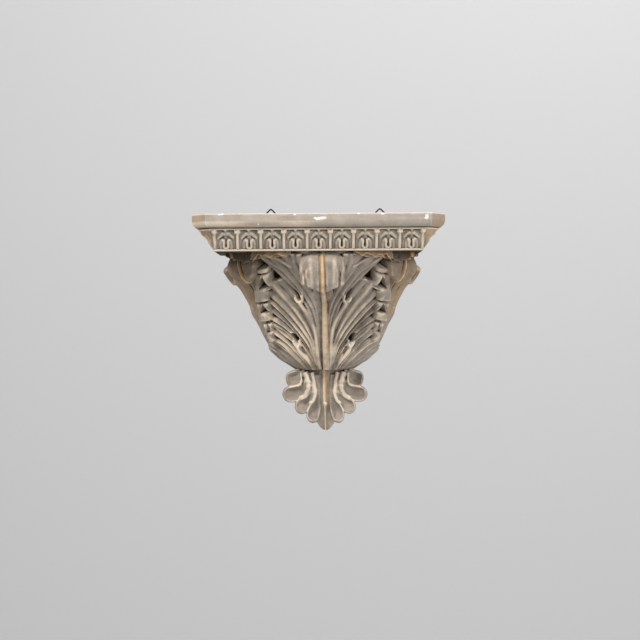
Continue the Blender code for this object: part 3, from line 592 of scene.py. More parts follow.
def bellStrand(middle, ahead, width, turn, lift, mirrored):
    radius = bellRadius(middle[..., 1])
    # the tangent in metres, so that the strand keeps its width wherever it runs
    du = np.radians(ahead[..., 0]) * radius
    dv = ahead[..., 1] * bell["height"]
    length = np.hypot(du, dv)
    side = width * np.sin(turn)
    angle = middle[..., 0] + np.degrees(side * dv / length / radius)
    share = middle[..., 1] - side * du / length / bell["height"]
    outer = onBell(angle, share, lift + width * np.cos(turn))
    inner = onBell(angle, share, lift - 0.010 + 0 * outer[..., 0])
    return bothSides(outer, inner, mirrored)


def midrib():
    # the rib up the middle of the central leaf, rounder at its crest, in a shallow channel
    rows, cols = gridShares(90, 25)
    a = 2 * cols - 1
    along = -0.02 + rows * 0.84
    halfWide = 0.0054 * (1 - 0.42 * along)
    angle = np.degrees(halfWide / bellRadius(along)) * a
    lift = 0.0052 + 0.0030 * np.sqrt(np.clip(1 - a * a, 0, 1)) - 0.0045 * smooth(np.abs(a), 0.75, 1.0)
    outer = onBell(angle, along + 0 * a, lift + 0 * along)
    inner = onBell(angle, along + 0 * a, -0.0145 + 0 * angle)
    for grid in (outer, inner):
        grid[..., 0] += ribShift(grid[..., 2])
    shells = bothSides(outer, inner, False)
    rows, cols = gridShares(90, 41)
    angle = 9.0 * (2 * cols - 1) * (1 - 0.35 * rows) + 0 * rows
    share = -0.02 + rows + 0 * cols
    outer = onBell(angle, share, 0.0014 * np.abs(2 * cols - 1) + 0.0014 + 0 * rows)
    inner = onBell(angle, share, -0.0145 + 0 * angle)
    return shells + bothSides(outer, inner, False)


curledTips = {
    "central": {
        "angle": 0, "length": 0.0645, "width": 0.0690, "reach": 0.1705, "thick": 0.010, "mirrored": False,
        "folds": 0.0020, "foot": (0.20, 1.3), "cup": (0.0070, 3.0), "taper": 0.07, "rib": (0, 0)},
    "corner": {
        "angle": 51.5, "length": 0.0490, "width": 0.0730, "reach": 0.1665, "thick": 0.010, "mirrored": True,
        "folds": 0.0, "foot": (0.34, 2.0), "cup": (0.0050, 3.5), "taper": 0.12, "rib": (-0.20, 0.62)},
}


def curledTip(angle, length, width, reach, thick, mirrored, folds, foot, cup, taper, rib):
    # a leaf end that rolls over under the soffit and hangs: rib, two folds and a shallow pointed foot
    rows, cols = gridShares(80, 91)
    a = 2 * cols - 1
    low = 1 - foot[0] * np.abs(a - 0.6 * rib[1] * (rib[0] + rib[1])) ** foot[1]
    along = rows * low
    roll = pathThrough(((0, .90), (.2, .965), (.4, .995), (.6, 1.0), (.8, .992), (1, .955)), along)[..., 1]
    narrow = 0.985 + 0.02 * hill(along, 0.35, 0.5) - taper * smooth(along, 0.45, 1.0)
    scale = width / 0.068
    cupped = -cup[0] * np.abs(a) ** cup[1] - 0.003 * smooth(np.abs(a), 0.92, 1.0)
    off = np.abs(a - rib[0] - rib[1] * along)
    ridge = 0.0026 * np.sqrt(np.clip(1 - (off / 0.085) ** 2, 0, 1)) * (1 - 0.35 * along)
    groove = -0.0024 * hill(off, 0.130, 0.06)
    fold = folds * hill(np.abs(a), 0.52, 0.30) ** 1.2
    fold = fold * smooth(along, 0.0, 0.25) * (1 - 0.7 * smooth(along, 0.55, 0.95))
    nick = -0.0040 * hill(np.abs(a), 0.78, 0.09) * smooth(along, 0.36, 0.60) * (folds > 0.001)
    edge = -0.0022 * smooth(rows, 0.95, 1.0)
    depth = reach * roll + (cupped + ridge + groove + fold + nick + edge) * scale
    side = width / 2 * narrow * a
    z = soffit + 0.0015 - along * length
    back = depth - thick * (1.6 - 0.9 * along) - 0.006 * (rows < 0.01)
    turn = math.radians(angle)
    c, n = math.cos(turn), math.sin(turn)
    outer, inner = (np.stack([side * c - out * n, -side * n - out * c, z + 0 * out], -1)
                    for out in (depth, back))
    return bothSides(outer, inner, mirrored)


# Lobe ends folded round where the two leaves meet, and last the rounded lobe at the wall: four corners
# as (angle, share), the upper outer one first and clockwise as seen, the height off the bell, and how
# deep a three-cornered pit goes
turnedEnds = (
    (((43, .895), (32, .894), (32.5, .862), (43, .862)), .0150, 0.0),
    (((42, .852), (32.2, .850), (35.4, .724), (48.6, .722)), .0180, 1.0),
    (((48.4, .744), (36.8, .744), (41.2, .628), (54, .620)), .0186, 0.0),
    (((53.4, .608), (41.4, .610), (42.6, .502), (56.8, .498)), .0180, 0.9),
    (((56.0, .522), (42.2, .526), (43.6, .460), (57.6, .444)), .0184, 0.0),
    (((56.0, .430), (44.6, .434), (47.6, .342), (57.0, .324)), .0160, 0.7),
    (((57.0, .346), (46.4, .362), (49.4, .276), (56.0, .268)), .0158, 0.0),
    (((97, .905), (76, .900), (79, .765), (97, .760)), .0105, 0.0),
)


def turnedEnd(corners, high, pit):
    # a square-shouldered pillow stretched between four corners, a triangle sunk in its inner half
    rows, cols = gridShares(44, 44)
    upperOut, upperIn, lowerIn, lowerOut = np.array(corners, float)
    upper = upperOut + (upperIn - upperOut) * cols[..., None]
    lower = lowerOut + (lowerIn - lowerOut) * cols[..., None]
    plan = lower + (upper - lower) * rows[..., None]
    plan = plan + 0.07 * (plan - plan.mean((0, 1)))
    a, up = 2 * cols - 1, 2 * rows - 1
    shoulder = np.clip((1 - np.abs(a) ** 9) * (1 - np.abs(up) ** 10), 0, 1) ** 0.5
    lift = high - 0.013 * (1 - shoulder) - 0.0030 * a * a - 0.0012 * hill(a, -0.05, 0.3) * (pit > 0)
    inside = np.minimum(rows - 0.12 + 0 * cols, (0.98 - rows) * 0.42 - np.abs(cols - 0.64))
    lift = lift - 0.0150 * pit * smooth(inside, 0.0, 0.05)
    outer = onBell(plan[..., 0], plan[..., 1], lift)
    inner = onBell(plan[..., 0], plan[..., 1], -0.0145 + 0 * lift)
    return bothSides(outer, inner)


rimEdge = ((17, 1.008), (20.2, 0.996), (24, 1.000), (28, 0.994), (30.8, 1.002), (33.8, 0.998), (36.8, 0.986),
           (40, 0.972), (43.8, 0.966), (48.5, 0.982), (53, 0.992), (56.2, 1.004), (60.2, 1.020))


def leafRim(fall, stand, phase):
    # a wavy lip of the corner leaf under the bead: its lower edge runs below the measured line by the fall
    rows, cols = gridShares(14, 220)
    edge = pathThrough(rimEdge, cols)
    frill = 0.0036 * np.sin(15 * np.pi * cols + phase) + 0.0018 * np.sin(29 * np.pi * cols + 1 + phase)
    shares = 1.03 + (edge[..., 1] - fall + frill - 1.03) * rows
    lift = stand + 0.0060 * rows ** 2 + 0.0012 * np.cos(13 * np.pi * cols + phase) * rows
    lift = lift - 0.006 * smooth(-cols, -0.25, 0.0)
    outer = onBell(edge[..., 0] + 0 * rows, shares, lift)
    inner = onBell(edge[..., 0] + 0 * rows, shares - 0.003 * (1 - rows), lift - 0.0036)
    return bothSides(outer, inner)


def bellCore():
    # the plain turned bell behind the leaves
    rows, cols = gridShares(40, 91)
    angle = -100 + 200 * cols
    share = 1.03 * rows
    outer = onBell(angle, share, -bell["core"] + 0 * angle * share)
    inner = outer * [0.02, 0.02, 1] + [0, 0.006, 0]
    outer[..., 1] = np.minimum(outer[..., 1], 0.004)
    return bothSides(outer, inner, False)


# Eyes: the teardrop holes where two lobes part. angle, share, width, length, slant in degrees
eyes = ((18.9, .668, 0.0034, 0.0088, 22), (27.6, .296, 0.0036, 0.0085, 34))


def eyeCutter(angle, share, wide, long, slant, side):
    # a teardrop that narrows as it goes in: an ellipsoid stretched along the slant
    rows, cols = gridShares(15, 25)
    polar, turn = np.pi * rows, 2 * np.pi * cols
    u = wide * np.sin(polar) * np.cos(turn)
    v = long * np.sin(polar) * np.sin(turn)
    u = u * (1 - 0.45 * v / long)
    deep = 0.016 * np.cos(polar) + 0.004
    t = math.radians(slant)
    du, dv = u * math.cos(t) + v * math.sin(t), v * math.cos(t) - u * math.sin(t)
    radius = bellRadius(share)
    points = onBell(angle + np.degrees(du / radius), share + dv / bell["height"], deep) * [side, 1, 1]
    points[..., 0] += leanAt(points[..., 2])
    i = np.arange(15 * 25).reshape(15, 25)
    quads = np.stack([i[:-1, :-1], i[:-1, 1:], i[1:, 1:], i[1:, :-1]], -1).reshape(-1, 4)
    piece = newMesh("eye", [(points.reshape(-1, 3), quads)])
    shape = bmesh.new()
    shape.from_mesh(piece.data)
    bmesh.ops.remove_doubles(shape, verts=shape.verts, dist=0.00001)
    bmesh.ops.recalc_face_normals(shape, faces=shape.faces)
    shape.to_mesh(piece.data)
    shape.free()
    return piece


skins = {
    "acanthusLeaves": (0.0009, 0.0018, 190000),
    "palmetteDrop": (0.0008, 0.0016, 120000),
}


def melt(name, shells):
    # a voxel skin over the overlapping shells makes them one casting; slivers are then thinned out
    voxel, quickVoxel, budget = skins[name]
    piece = newMesh(name, shells)
    skin = piece.modifiers.new("skin", "REMESH")
    skin.mode, skin.voxel_size, skin.adaptivity = "VOXEL", voxel, 0.0
    bake(piece)
    relax(piece, 2, 0.5)
    now = triangleCount(piece)
    if now > budget:
        thin = piece.modifiers.new("thin", "DECIMATE")
        thin.ratio = budget / now
        bake(piece)
    print(name, "skin", now, "triangles, thinned to", triangleCount(piece))
    return piece


# Pipes: the round strands that run from each eye down to the neck, and the rim round each eye's foot.
# The last four are folds under the bead. Each is a path, then its half width at the two ends and its lift
leafPipes = (
    (((17.6, .600), (15.8, .546), (12.2, .478), (9.2, .402), (7.4, .316), (6.8, .192), (6.8, -.01)),
     (0.0034, 0.0022, 0.0058)),
    (((20.2, .640), (19.4, .606), (17.2, .588), (15.0, .606), (15.2, .650)), (0.0022, 0.0016, 0.0066)),
    (((26.6, .225), (25.4, .175), (22.4, .130), (19.0, .085), (17.6, -.01)), (0.0034, 0.0020, 0.0058)),
    (((29.6, .270), (28.4, .232), (26.0, .210), (23.6, .228), (23.8, .275)), (0.0022, 0.0016, 0.0066)),
    (((20.6, .130), (18.2, .085), (16.6, .04), (16.6, -.01)), (0.0018, 0.0014, 0.0050)),
    (((34.5, 0.968), (29.8, 0.922), (23.5, 0.852)), (0.0026, 0.0012, 0.0046)),
    (((29.2, 0.988), (23.5, 0.936), (17.8, 0.880)), (0.0024, 0.0012, 0.0052)),
    (((16.0, 0.990), (15.8, 0.914), (14.2, 0.818)), (0.0050, 0.0030, 0.0006)),
    (((12.8, 0.990), (12.8, 0.930), (11.5, 0.860)), (0.0046, 0.0030, 0.0024)),
)


def acanthusBell():
    shells = bellCore()
    for lobe in leafLobes.values():
        shells += leafLobe(**lobe)
    for lobe in cornerLobes.values():
        shells += leafLobe(**lobe)
    shells += midrib()
    for tip in curledTips.values():
        shells += curledTip(**tip)
    for end in turnedEnds:
        shells += turnedEnd(*end)
    shells += leafRim(0.006, 0.0118, 0.8) + leafRim(0.022, 0.0078, 2.6)
    for path, wide in leafPipes:
        shells += strandAlong(path, *wide, bellStrand)
    piece = melt("acanthusLeaves", shells)
    for eye in eyes:
        for side in (1, -1):
            cut(piece, eyeCutter(*eye, side))
    far = shelf["width"]
    cut(piece, block("wallPlane", (-far, 0, -far), (far, far, far)))
    cut(piece, block("overTop", (-far, -far, soffit + 0.004), (far, far, far)))
    cut(piece, block("underNeck", (-far, -far, neck - 0.1), (far, far, neck + 0.0004)))
    relax(piece, 1, 0.3)
    flattenBack(piece)
    return piece


def flattenBack(piece):
    # the back lies on the wall plane
    mesh = piece.data
    points = readField(mesh.vertices, "co", 3)
    points[points[:, 1] > -0.00035, 1] = 0.0
    mesh.vertices.foreach_set("co", points.astype(np.float32).ravel())
    mesh.update()


# Palmette drop

def dropDepth(x, z):
    share = np.clip((neck - z) / drop["length"], 0, 1)
    middle = drop["depth"] + (drop["tipDepth"] - drop["depth"]) * share ** 1.5
    return middle * (1 - 0.38 * np.abs(x / (drop["width"] / 2)) ** 1.5)


def onDrop(x, z, lift):
    return np.stack([-x, -(dropDepth(x, z) + lift), z + 0 * x], -1)


# Each lobe's middle line as (share of the half width, share of the length), its half width at the
# neck and at its bowl in metres, where the bowl starts, and how far it stands forward
dropLobes = (
    (((.44, .06), (.56, .10), (.74, .15), (.92, .17)), 0.0070, 0.0126, 0.30, -0.0012),
    (((.42, .04), (.42, .22), (.54, .35), (.78, .40), (1.01, .405)), 0.0060, 0.0130, 0.42, -0.0002),
    (((.32, .04), (.32, .28), (.42, .46), (.53, .58), (.63, .72)), 0.0050, 0.0118, 0.42, 0.0010),
    (((.20, .08), (.18, .34), (.23, .55), (.29, .72), (.31, .88)), 0.0045, 0.0102, 0.42, 0.0006),
)


def dropLobe(line, narrow, wide, bowlFrom, forward):
    # spoon: a stalk that widens to a round dished bowl with a raised rim
    rows, cols = gridShares(70, 41)
    s = np.sin(rows * np.pi / 2)
    a = 2 * cols - 1
    points = np.array(line) * [drop["width"] / 2, drop["length"]]
    middle = pathThrough(points, s)
    ahead = pathThrough(points, np.clip(s + 0.02, 0, 1)) - pathThrough(points, np.clip(s - 0.02, 0, 1))
    ahead = ahead / np.linalg.norm(ahead, axis=-1, keepdims=True)
    bowl = smooth(s, bowlFrom - 0.15, bowlFrom + 0.25)
    end = np.sqrt(np.clip(1 - np.clip((s - 0.72) / 0.28, 0, 1) ** 2.4, 0, 1))
    width = (narrow + (wide - narrow) * bowl) * end + 0.0002
    x = middle[..., 0] - ahead[..., 1] * width * a
    z = neck - (middle[..., 1] + ahead[..., 0] * width * a)
    ring = (np.abs(a) ** 6 + np.clip((s - 0.5) / 0.5, 0, 1) ** 6) ** (1 / 6)
    lift = forward + (0.0030 * hill(ring, 0.86, 0.15) - 0.0048 * (1 - smooth(ring, 0.35, 0.80))) * bowl
    lift = lift - 0.0016 * smooth(ring, 0.90, 1.0)
    outer = onDrop(x, z, lift)
    inner = outer.copy()
    inner[..., 1] = -drop["back"]
    return bothSides(outer, inner)


def dropStrand(middle, ahead, width, turn, lift, mirrored):
    x, z = middle[..., 0] * drop["width"] / 2, middle[..., 1] * drop["length"]
    dx, dz = ahead[..., 0] * drop["width"] / 2, ahead[..., 1] * drop["length"]
    length = np.hypot(dx, dz)
    side = width * np.sin(turn)
    x, z = x - side * dz / length, neck - (z + side * dx / length)
    outer = onDrop(x, z, lift + width * np.cos(turn))
    inner = outer.copy()
    inner[..., 1] = np.minimum(inner[..., 1] + 0.02, -drop["back"])
    return bothSides(outer, inner, mirrored)


def dropMiddle():
    # pointed middle lobe: dished each side of a rib, with the small boss on the rib
    rows, cols = gridShares(110, 41)
    a = 2 * cols - 1
    wide = np.interp(rows, (0, .3, .5, .62, .72, .80, .86, .90, .95, .98, 1),
                     (.13, .12, .13, .17, .22, .235, .21, .175, .125, .075, .01))
    x = wide * a * drop["width"] / 2
    z = neck - rows * drop["length"] + 0 * a
    ribHalf = np.interp(rows, (0, .5, .56, .62, 1), (.0042, .0036, .0036, .0019, .0016))
    rib = 0.0052 * np.sqrt(np.clip(1 - (x / ribHalf) ** 2, 0, 1)) * (1 - 0.25 * smooth(rows, 0.55, 0.7))
    fromBoss = np.hypot(x, z - bossHeight)
    boss = 0.0032 * np.sqrt(np.clip(1 - (fromBoss / 0.0030) ** 2, 0, 1))
    rim = 0.0034 * hill(np.abs(a), 0.90, 0.22) * smooth(rows, 0.5, 0.75)
    rim = rim - 0.0012 * smooth(np.abs(a), 0.94, 1.0)
    outer = onDrop(x, z, rib + boss + rim - 0.0015)
    inner = outer.copy()
    inner[..., 1] = 0.003
    return bothSides(outer, inner, False)


def dropCore():
    rows, cols = gridShares(30, 41)
    a = 2 * cols - 1
    s = -0.05 + 0.70 * rows
    wide = np.interp(s, (-0.05, 0.05, 0.3, 0.65), (0.60, 0.58, 0.46, 0.16))
    x = wide * a * drop["width"] / 2
    z = neck - s * drop["length"] + 0 * a
    outer = onDrop(x, z, -0.004 - 0.010 * a ** 2 + 0 * z)
    inner = outer.copy()
    inner[..., 1] = 0.003
    return bothSides(outer, inner, False)


# Pipes on the drop: path as for the lobes, then half width at its two ends and lift
dropPipes = (
    (((.60, .475), (.47, .42), (.385, .30), (.40, .16), (.47, .04)), (0.0036, 0.0050, 0.0012)),
    (((.37, .560), (.28, .50), (.235, .38), (.25, .20), (.30, .04)), (0.0030, 0.0028, 0.0024)),
    (((.66, .27), (.58, .24), (.55, .16), (.56, .05)), (0.0016, 0.0016, 0.0030)),
)


def palmetteShape():
    shells = dropCore() + dropMiddle()
    for lobe in dropLobes:
        shells += dropLobe(*lobe)
    for path, wide in dropPipes:
        shells += strandAlong(path, *wide, dropStrand)
    piece = melt("palmetteDrop", shells)
    far = shelf["width"]
    cut(piece, block("wallPlane", (-far, 0, -far), (far, far, far)))
    flattenBack(piece)
    return piece


# Finishes

def addNode(tree, kind, links=None, **settings):
    # one node: plain settings by name, inputs by name through links (a socket or a value)
    node = tree.nodes.new(kind)
    for key, value in settings.items():
        setattr(node, key, value)
    for key, value in (links or {}).items():
        target = node.inputs[key]
        if isinstance(value, bpy.types.NodeSocket):
            tree.links.new(value, target)
        else:
            target.default_value = value
    return node


def rampStops(node, stops):
    ramp = node.color_ramp
    while len(ramp.elements) < len(stops):
        ramp.elements.new(0.5)
    for element, (place, colour) in zip(ramp.elements, stops):
        element.position, element.color = place, colour


paint = {
    "wash": "#988c80", "washLight": "#b5a99c", "washBrown": "#927f69",
    "cream": "#f2e1ca", "beige": "#ddd2c4",
    "ochre": "#c4975a", "umber": "#33251a", "bare": "#f6f1ea",
}


def wornPaint():
    # old distemper over cast plaster: matt, blotchy grey-brown wash, rubbed to cream on the ridges,
    # ochre left in the ribs, and umber down in the cuts: dirt, and painted shade in the cuts, gaps and
    # undersides
    material = bpy.data.materials.new("wornDistemper")
    material.use_nodes = True
    tree = material.node_tree
    shader = tree.nodes["Principled BSDF"]
    at = addNode(tree, "ShaderNodeTexCoord").outputs["Object"]

    def cloud(scale, detail=4.0, rough=0.6):
        settings = {"Vector": at, "Scale": scale, "Detail": detail, "Roughness": rough}
        return addNode(tree, "ShaderNodeTexNoise", settings).outputs["Fac"]

    def field(name):
        return addNode(tree, "ShaderNodeAttribute", attribute_name=name).outputs["Fac"]

    def maths(operation, *values):
        node = addNode(tree, "ShaderNodeMath", operation=operation)
        for k, value in enumerate(values):
            if isinstance(value, bpy.types.NodeSocket):
                tree.links.new(value, node.inputs[k])
            else:
                node.inputs[k].default_value = value
        return node.outputs[0]

    def blend(factor, low, high):
        node = addNode(tree, "ShaderNodeMix", data_type="RGBA")
        tree.links.new(factor, node.inputs["Factor"])
        for k, value in ((6, low), (7, high)):
            if isinstance(value, bpy.types.NodeSocket):
                tree.links.new(value, node.inputs[k])
            else:
                node.inputs[k].default_value = value
        return node.outputs[2]

    def between01(value, low, high):
        settings = {"Value": value, "From Min": low, "From Max": high}
        return addNode(tree, "ShaderNodeMapRange", settings).outputs["Result"]

    blotch = cloud(1 / 0.022)          # blotches about 22 mm across
    brush = cloud(1 / 0.004, 3.0)      # brush drag and dust, 4 mm
    grain = cloud(1 / 0.0012, 2.0)     # plaster grain; real grain is 0.2 mm, drawn at 1.2 mm to show

    def shaken(value, texture, amount):
        # the field with its edge broken up by a cloud
        return maths("ADD", value, maths("MULTIPLY", maths("SUBTRACT", texture, 0.5), amount))

    colour = blend(between01(blotch, 0.36, 0.68), linear(paint["wash"]), linear(paint["washLight"]))
    colour = blend(maths("MULTIPLY", between01(brush, 0.45, 0.75), 0.45), colour, linear(paint["washBrown"]))
    drag = addNode(tree, "ShaderNodeMapping", {"Vector": at, "Scale": (14, 14, 260)}).outputs["Vector"]
    # brushed streaks about 4 mm high and 70 mm long
    streak = addNode(tree, "ShaderNodeTexNoise", {"Vector": drag, "Scale": 1.0, "Detail": 3.0}).outputs["Fac"]
    pale = maths("MULTIPLY", field("light"), between01(streak, -0.10, 0.62))
    colour = blend(pale, colour, linear(paint["beige"]))
    gold = maths("MULTIPLY", field("gold"), between01(shaken(brush, blotch, 0.5), 0.22, 0.55))
    colour = blend(gold, colour, linear(paint["ochre"]))
    # umber over the hollows, the soffit and the deep gaps: dirt, and painted shade
    dirtAndShadeMix = between01(shaken(field("dirtAndShade"), brush, 0.30), 0.08, 0.75)
    colour = blend(dirtAndShadeMix, colour, linear(paint["umber"]))
    colour = blend(between01(shaken(field("wear"), brush, 0.60), 0.12, 0.82), colour, linear(paint["cream"]))
    colour = blend(between01(shaken(field("chip"), grain, 0.6), 0.35, 0.65), colour, linear(paint["bare"]))
    tree.links.new(colour, shader.inputs["Base Color"])
    matt = addNode(tree, "ShaderNodeMapRange", {"Value": brush, "To Min": 0.62, "To Max": 0.88})
    tree.links.new(matt.outputs["Result"], shader.inputs["Roughness"])
    shader.inputs["Specular IOR Level"].default_value = 0.35
    fine = addNode(tree, "ShaderNodeBump", {"Height": grain, "Strength": 0.25, "Distance": 0.0004})
    coarse = addNode(tree, "ShaderNodeBump", {
        "Height": brush, "Strength": 0.35, "Distance": 0.0008, "Normal": fine.outputs["Normal"]})
    tree.links.new(coarse.outputs["Normal"], shader.inputs["Normal"])
    return material


def ironWire():
    # drawn steel wire left bare: black-brown scale, a dull sheen, rust bloom in spots
    material = bpy.data.materials.new("oxidisedIronWire")
    material.use_nodes = True
    tree = material.node_tree
    shader = tree.nodes["Principled BSDF"]
    at = addNode(tree, "ShaderNodeTexCoord").outputs["Object"]
    # rust spots 2.5 mm across
    spots = addNode(tree, "ShaderNodeTexNoise", {"Vector": at, "Scale": 1 / 0.0025, "Detail": 3.0})
    tint = addNode(tree, "ShaderNodeValToRGB", {"Fac": spots.outputs["Fac"]})
    rampStops(tint, ((0.35, linear("#1f1d1c")), (0.75, linear("#3d2c22"))))
    tree.links.new(tint.outputs["Color"], shader.inputs["Base Color"])
    shader.inputs["Metallic"].default_value = 0.85
    spot = spots.outputs["Fac"]
    dull = addNode(tree, "ShaderNodeMapRange", {"Value": spot, "To Min": 0.42, "To Max": 0.70})
    tree.links.new(dull.outputs["Result"], shader.inputs["Roughness"])
    pits = addNode(tree, "ShaderNodeBump", {"Height": spot, "Strength": 0.3, "Distance": 0.0002})
    tree.links.new(pits.outputs["Normal"], shader.inputs["Normal"])
    return material


rubbing = {
    # how far off the smoothed skin a point must stand, in metres, to start and to be full, and how strong;
    # ridges give cream wear, hollows umber dirt with painted shade
    "sharpRidge": (0.00009, 0.00052, 0.66), "broadRidge": (0.0008, 0.0036, 0.12),
    "sharpHollow": (0.00005, 0.00050, 0.65), "broadHollow": (0.0003, 0.0026, 0.75),
}


def rubbed(offset, kind):
    # none up to the low offset, the full strength from the high one on, an S curve between
    low, high, strength = rubbing[kind]
    return smooth(offset, low, high) * strength


def wearDirtAndShade(piece, fine, broad, extra):
    # ridges and hollows found on the mesh itself: how far a point stands off the same skin smoothed; ridges
    # wear to cream, hollows take umber dirt and painted shade
    mesh = piece.data
    points = readField(mesh.vertices, "co", 3)
    edges = readField(mesh.edges, "vertices", 2, np.int32)
    normals = readField(mesh.vertex_normals, "vector", 3)
    near = spread(points, edges, fine)
    far = spread(near, edges, broad)
    sharp = np.sum((points - near) * normals, -1)
    wide = np.sum((points - far) * normals, -1)
    soft = spread(np.stack([sharp, wide], -1), edges, 2, 0.6)
    sharp, wide = soft[:, 0], soft[:, 1]
    fields = {
        "wear": rubbed(sharp, "sharpRidge") + rubbed(wide, "broadRidge"),
        # hollows: umber dirt, and painted shade that deepens the creases
        "dirtAndShade": rubbed(-sharp, "sharpHollow") + rubbed(-wide, "broadHollow"),
        "gold": np.zeros(len(points)), "chip": np.zeros(len(points)), "light": np.zeros(len(points)),
    }
    extra(points, normals, fields)
    for name, values in fields.items():
        addField(mesh, name, values)


def shelfPaint(points, normals, fields):
    # slab face paler, its lower edge worn beige at the left; frieze strands cream, clip faces browner; the
    # soffit darkened with painted shade
    x, y, z = points.T
    slab = smooth(z, friezeTop, slabBottom + 0.002)
    fields["light"] = 0.34 * slab
    fields["dirtAndShade"] *= 1 - 0.68 * (z < friezeTop)
    strip = smooth(z, slabBottom, slabBottom + 0.002)
    strip = strip * (1 - smooth(z, slabBottom + 0.008, slabBottom + 0.011))
    patch = smooth(noise(points * [0.4, 0.4, 2], 0.02, 22), -0.6, 0.5)
    strip = strip * smooth(-x, -0.03, 0.02) * patch
    fields["wear"] += 0.55 * strip
    fields["gold"] = 0.30 * strip
    arris = smooth(z, shelf["top"] - 0.0034, shelf["top"] - 0.0004)
    fields["wear"] += 0.40 * arris * smooth(-normals[:, 1], -0.2, 0.4)
    clip = smooth(np.abs(x), half - shelf["clipAcross"], half - shelf["clipAcross"] + 0.002) * slab
    fields["light"] *= 1 - 0.55 * clip
    fields["gold"] += 0.30 * clip
    # on the frieze the strands are rubbed and the ground between them is dark
    slope = math.atan2(shelf["frieze"], shelf["friezeIn"])
    share = (z - friezeBottom) / shelf["frieze"] + 0.3 * shelf["relief"] * math.cos(slope) / shelf["frieze"]
    sidePhase = planCorners(friezeBottomIn)[1] - 0.85 * shelf["pitch"]
    onFront = np.abs(x) < planCorners(friezeBottomIn)[2] + 0.010
    relief = np.where(onFront, motifRelief(x, shelf["pitch"] / 2, share), motifRelief(-y, sidePhase, share))
    onSide = (~onFront) & (-y < planCorners(friezeBottomIn)[1] - 0.004)
    frieze = smooth(share, 0.01, 0.04) * (1 - smooth(share, 0.99, 1.02)) * (y < -0.002)
    motifs = frieze * (onFront | onSide)
    rub = np.where(onFront, motifRub(x, shelf["pitch"] / 2, share), motifRub(-y, sidePhase, share))
    fields["wear"] += motifs * (0.28 * smooth(relief, 0.40, 0.95) + 0.60 * rub)
    fields["dirtAndShade"] += motifs * 0.12 * (1 - smooth(relief, -0.3, 0.45))
    fields["gold"] += 0.65 * frieze * (1 - motifs)
    fields["wear"] += 0.25 * frieze * (1 - motifs)
    # painted shade: the soffit and other faces turned down below the frieze are made umber
    fields["dirtAndShade"] += 0.85 * smooth(-normals[:, 2], 0.7, 0.97) * (z < friezeBottom)
    fields["chip"] = chipMask(points)


tipMark = {"x": -0.0212, "z": -0.0740, "wide": 0.0042, "high": 0.0095}


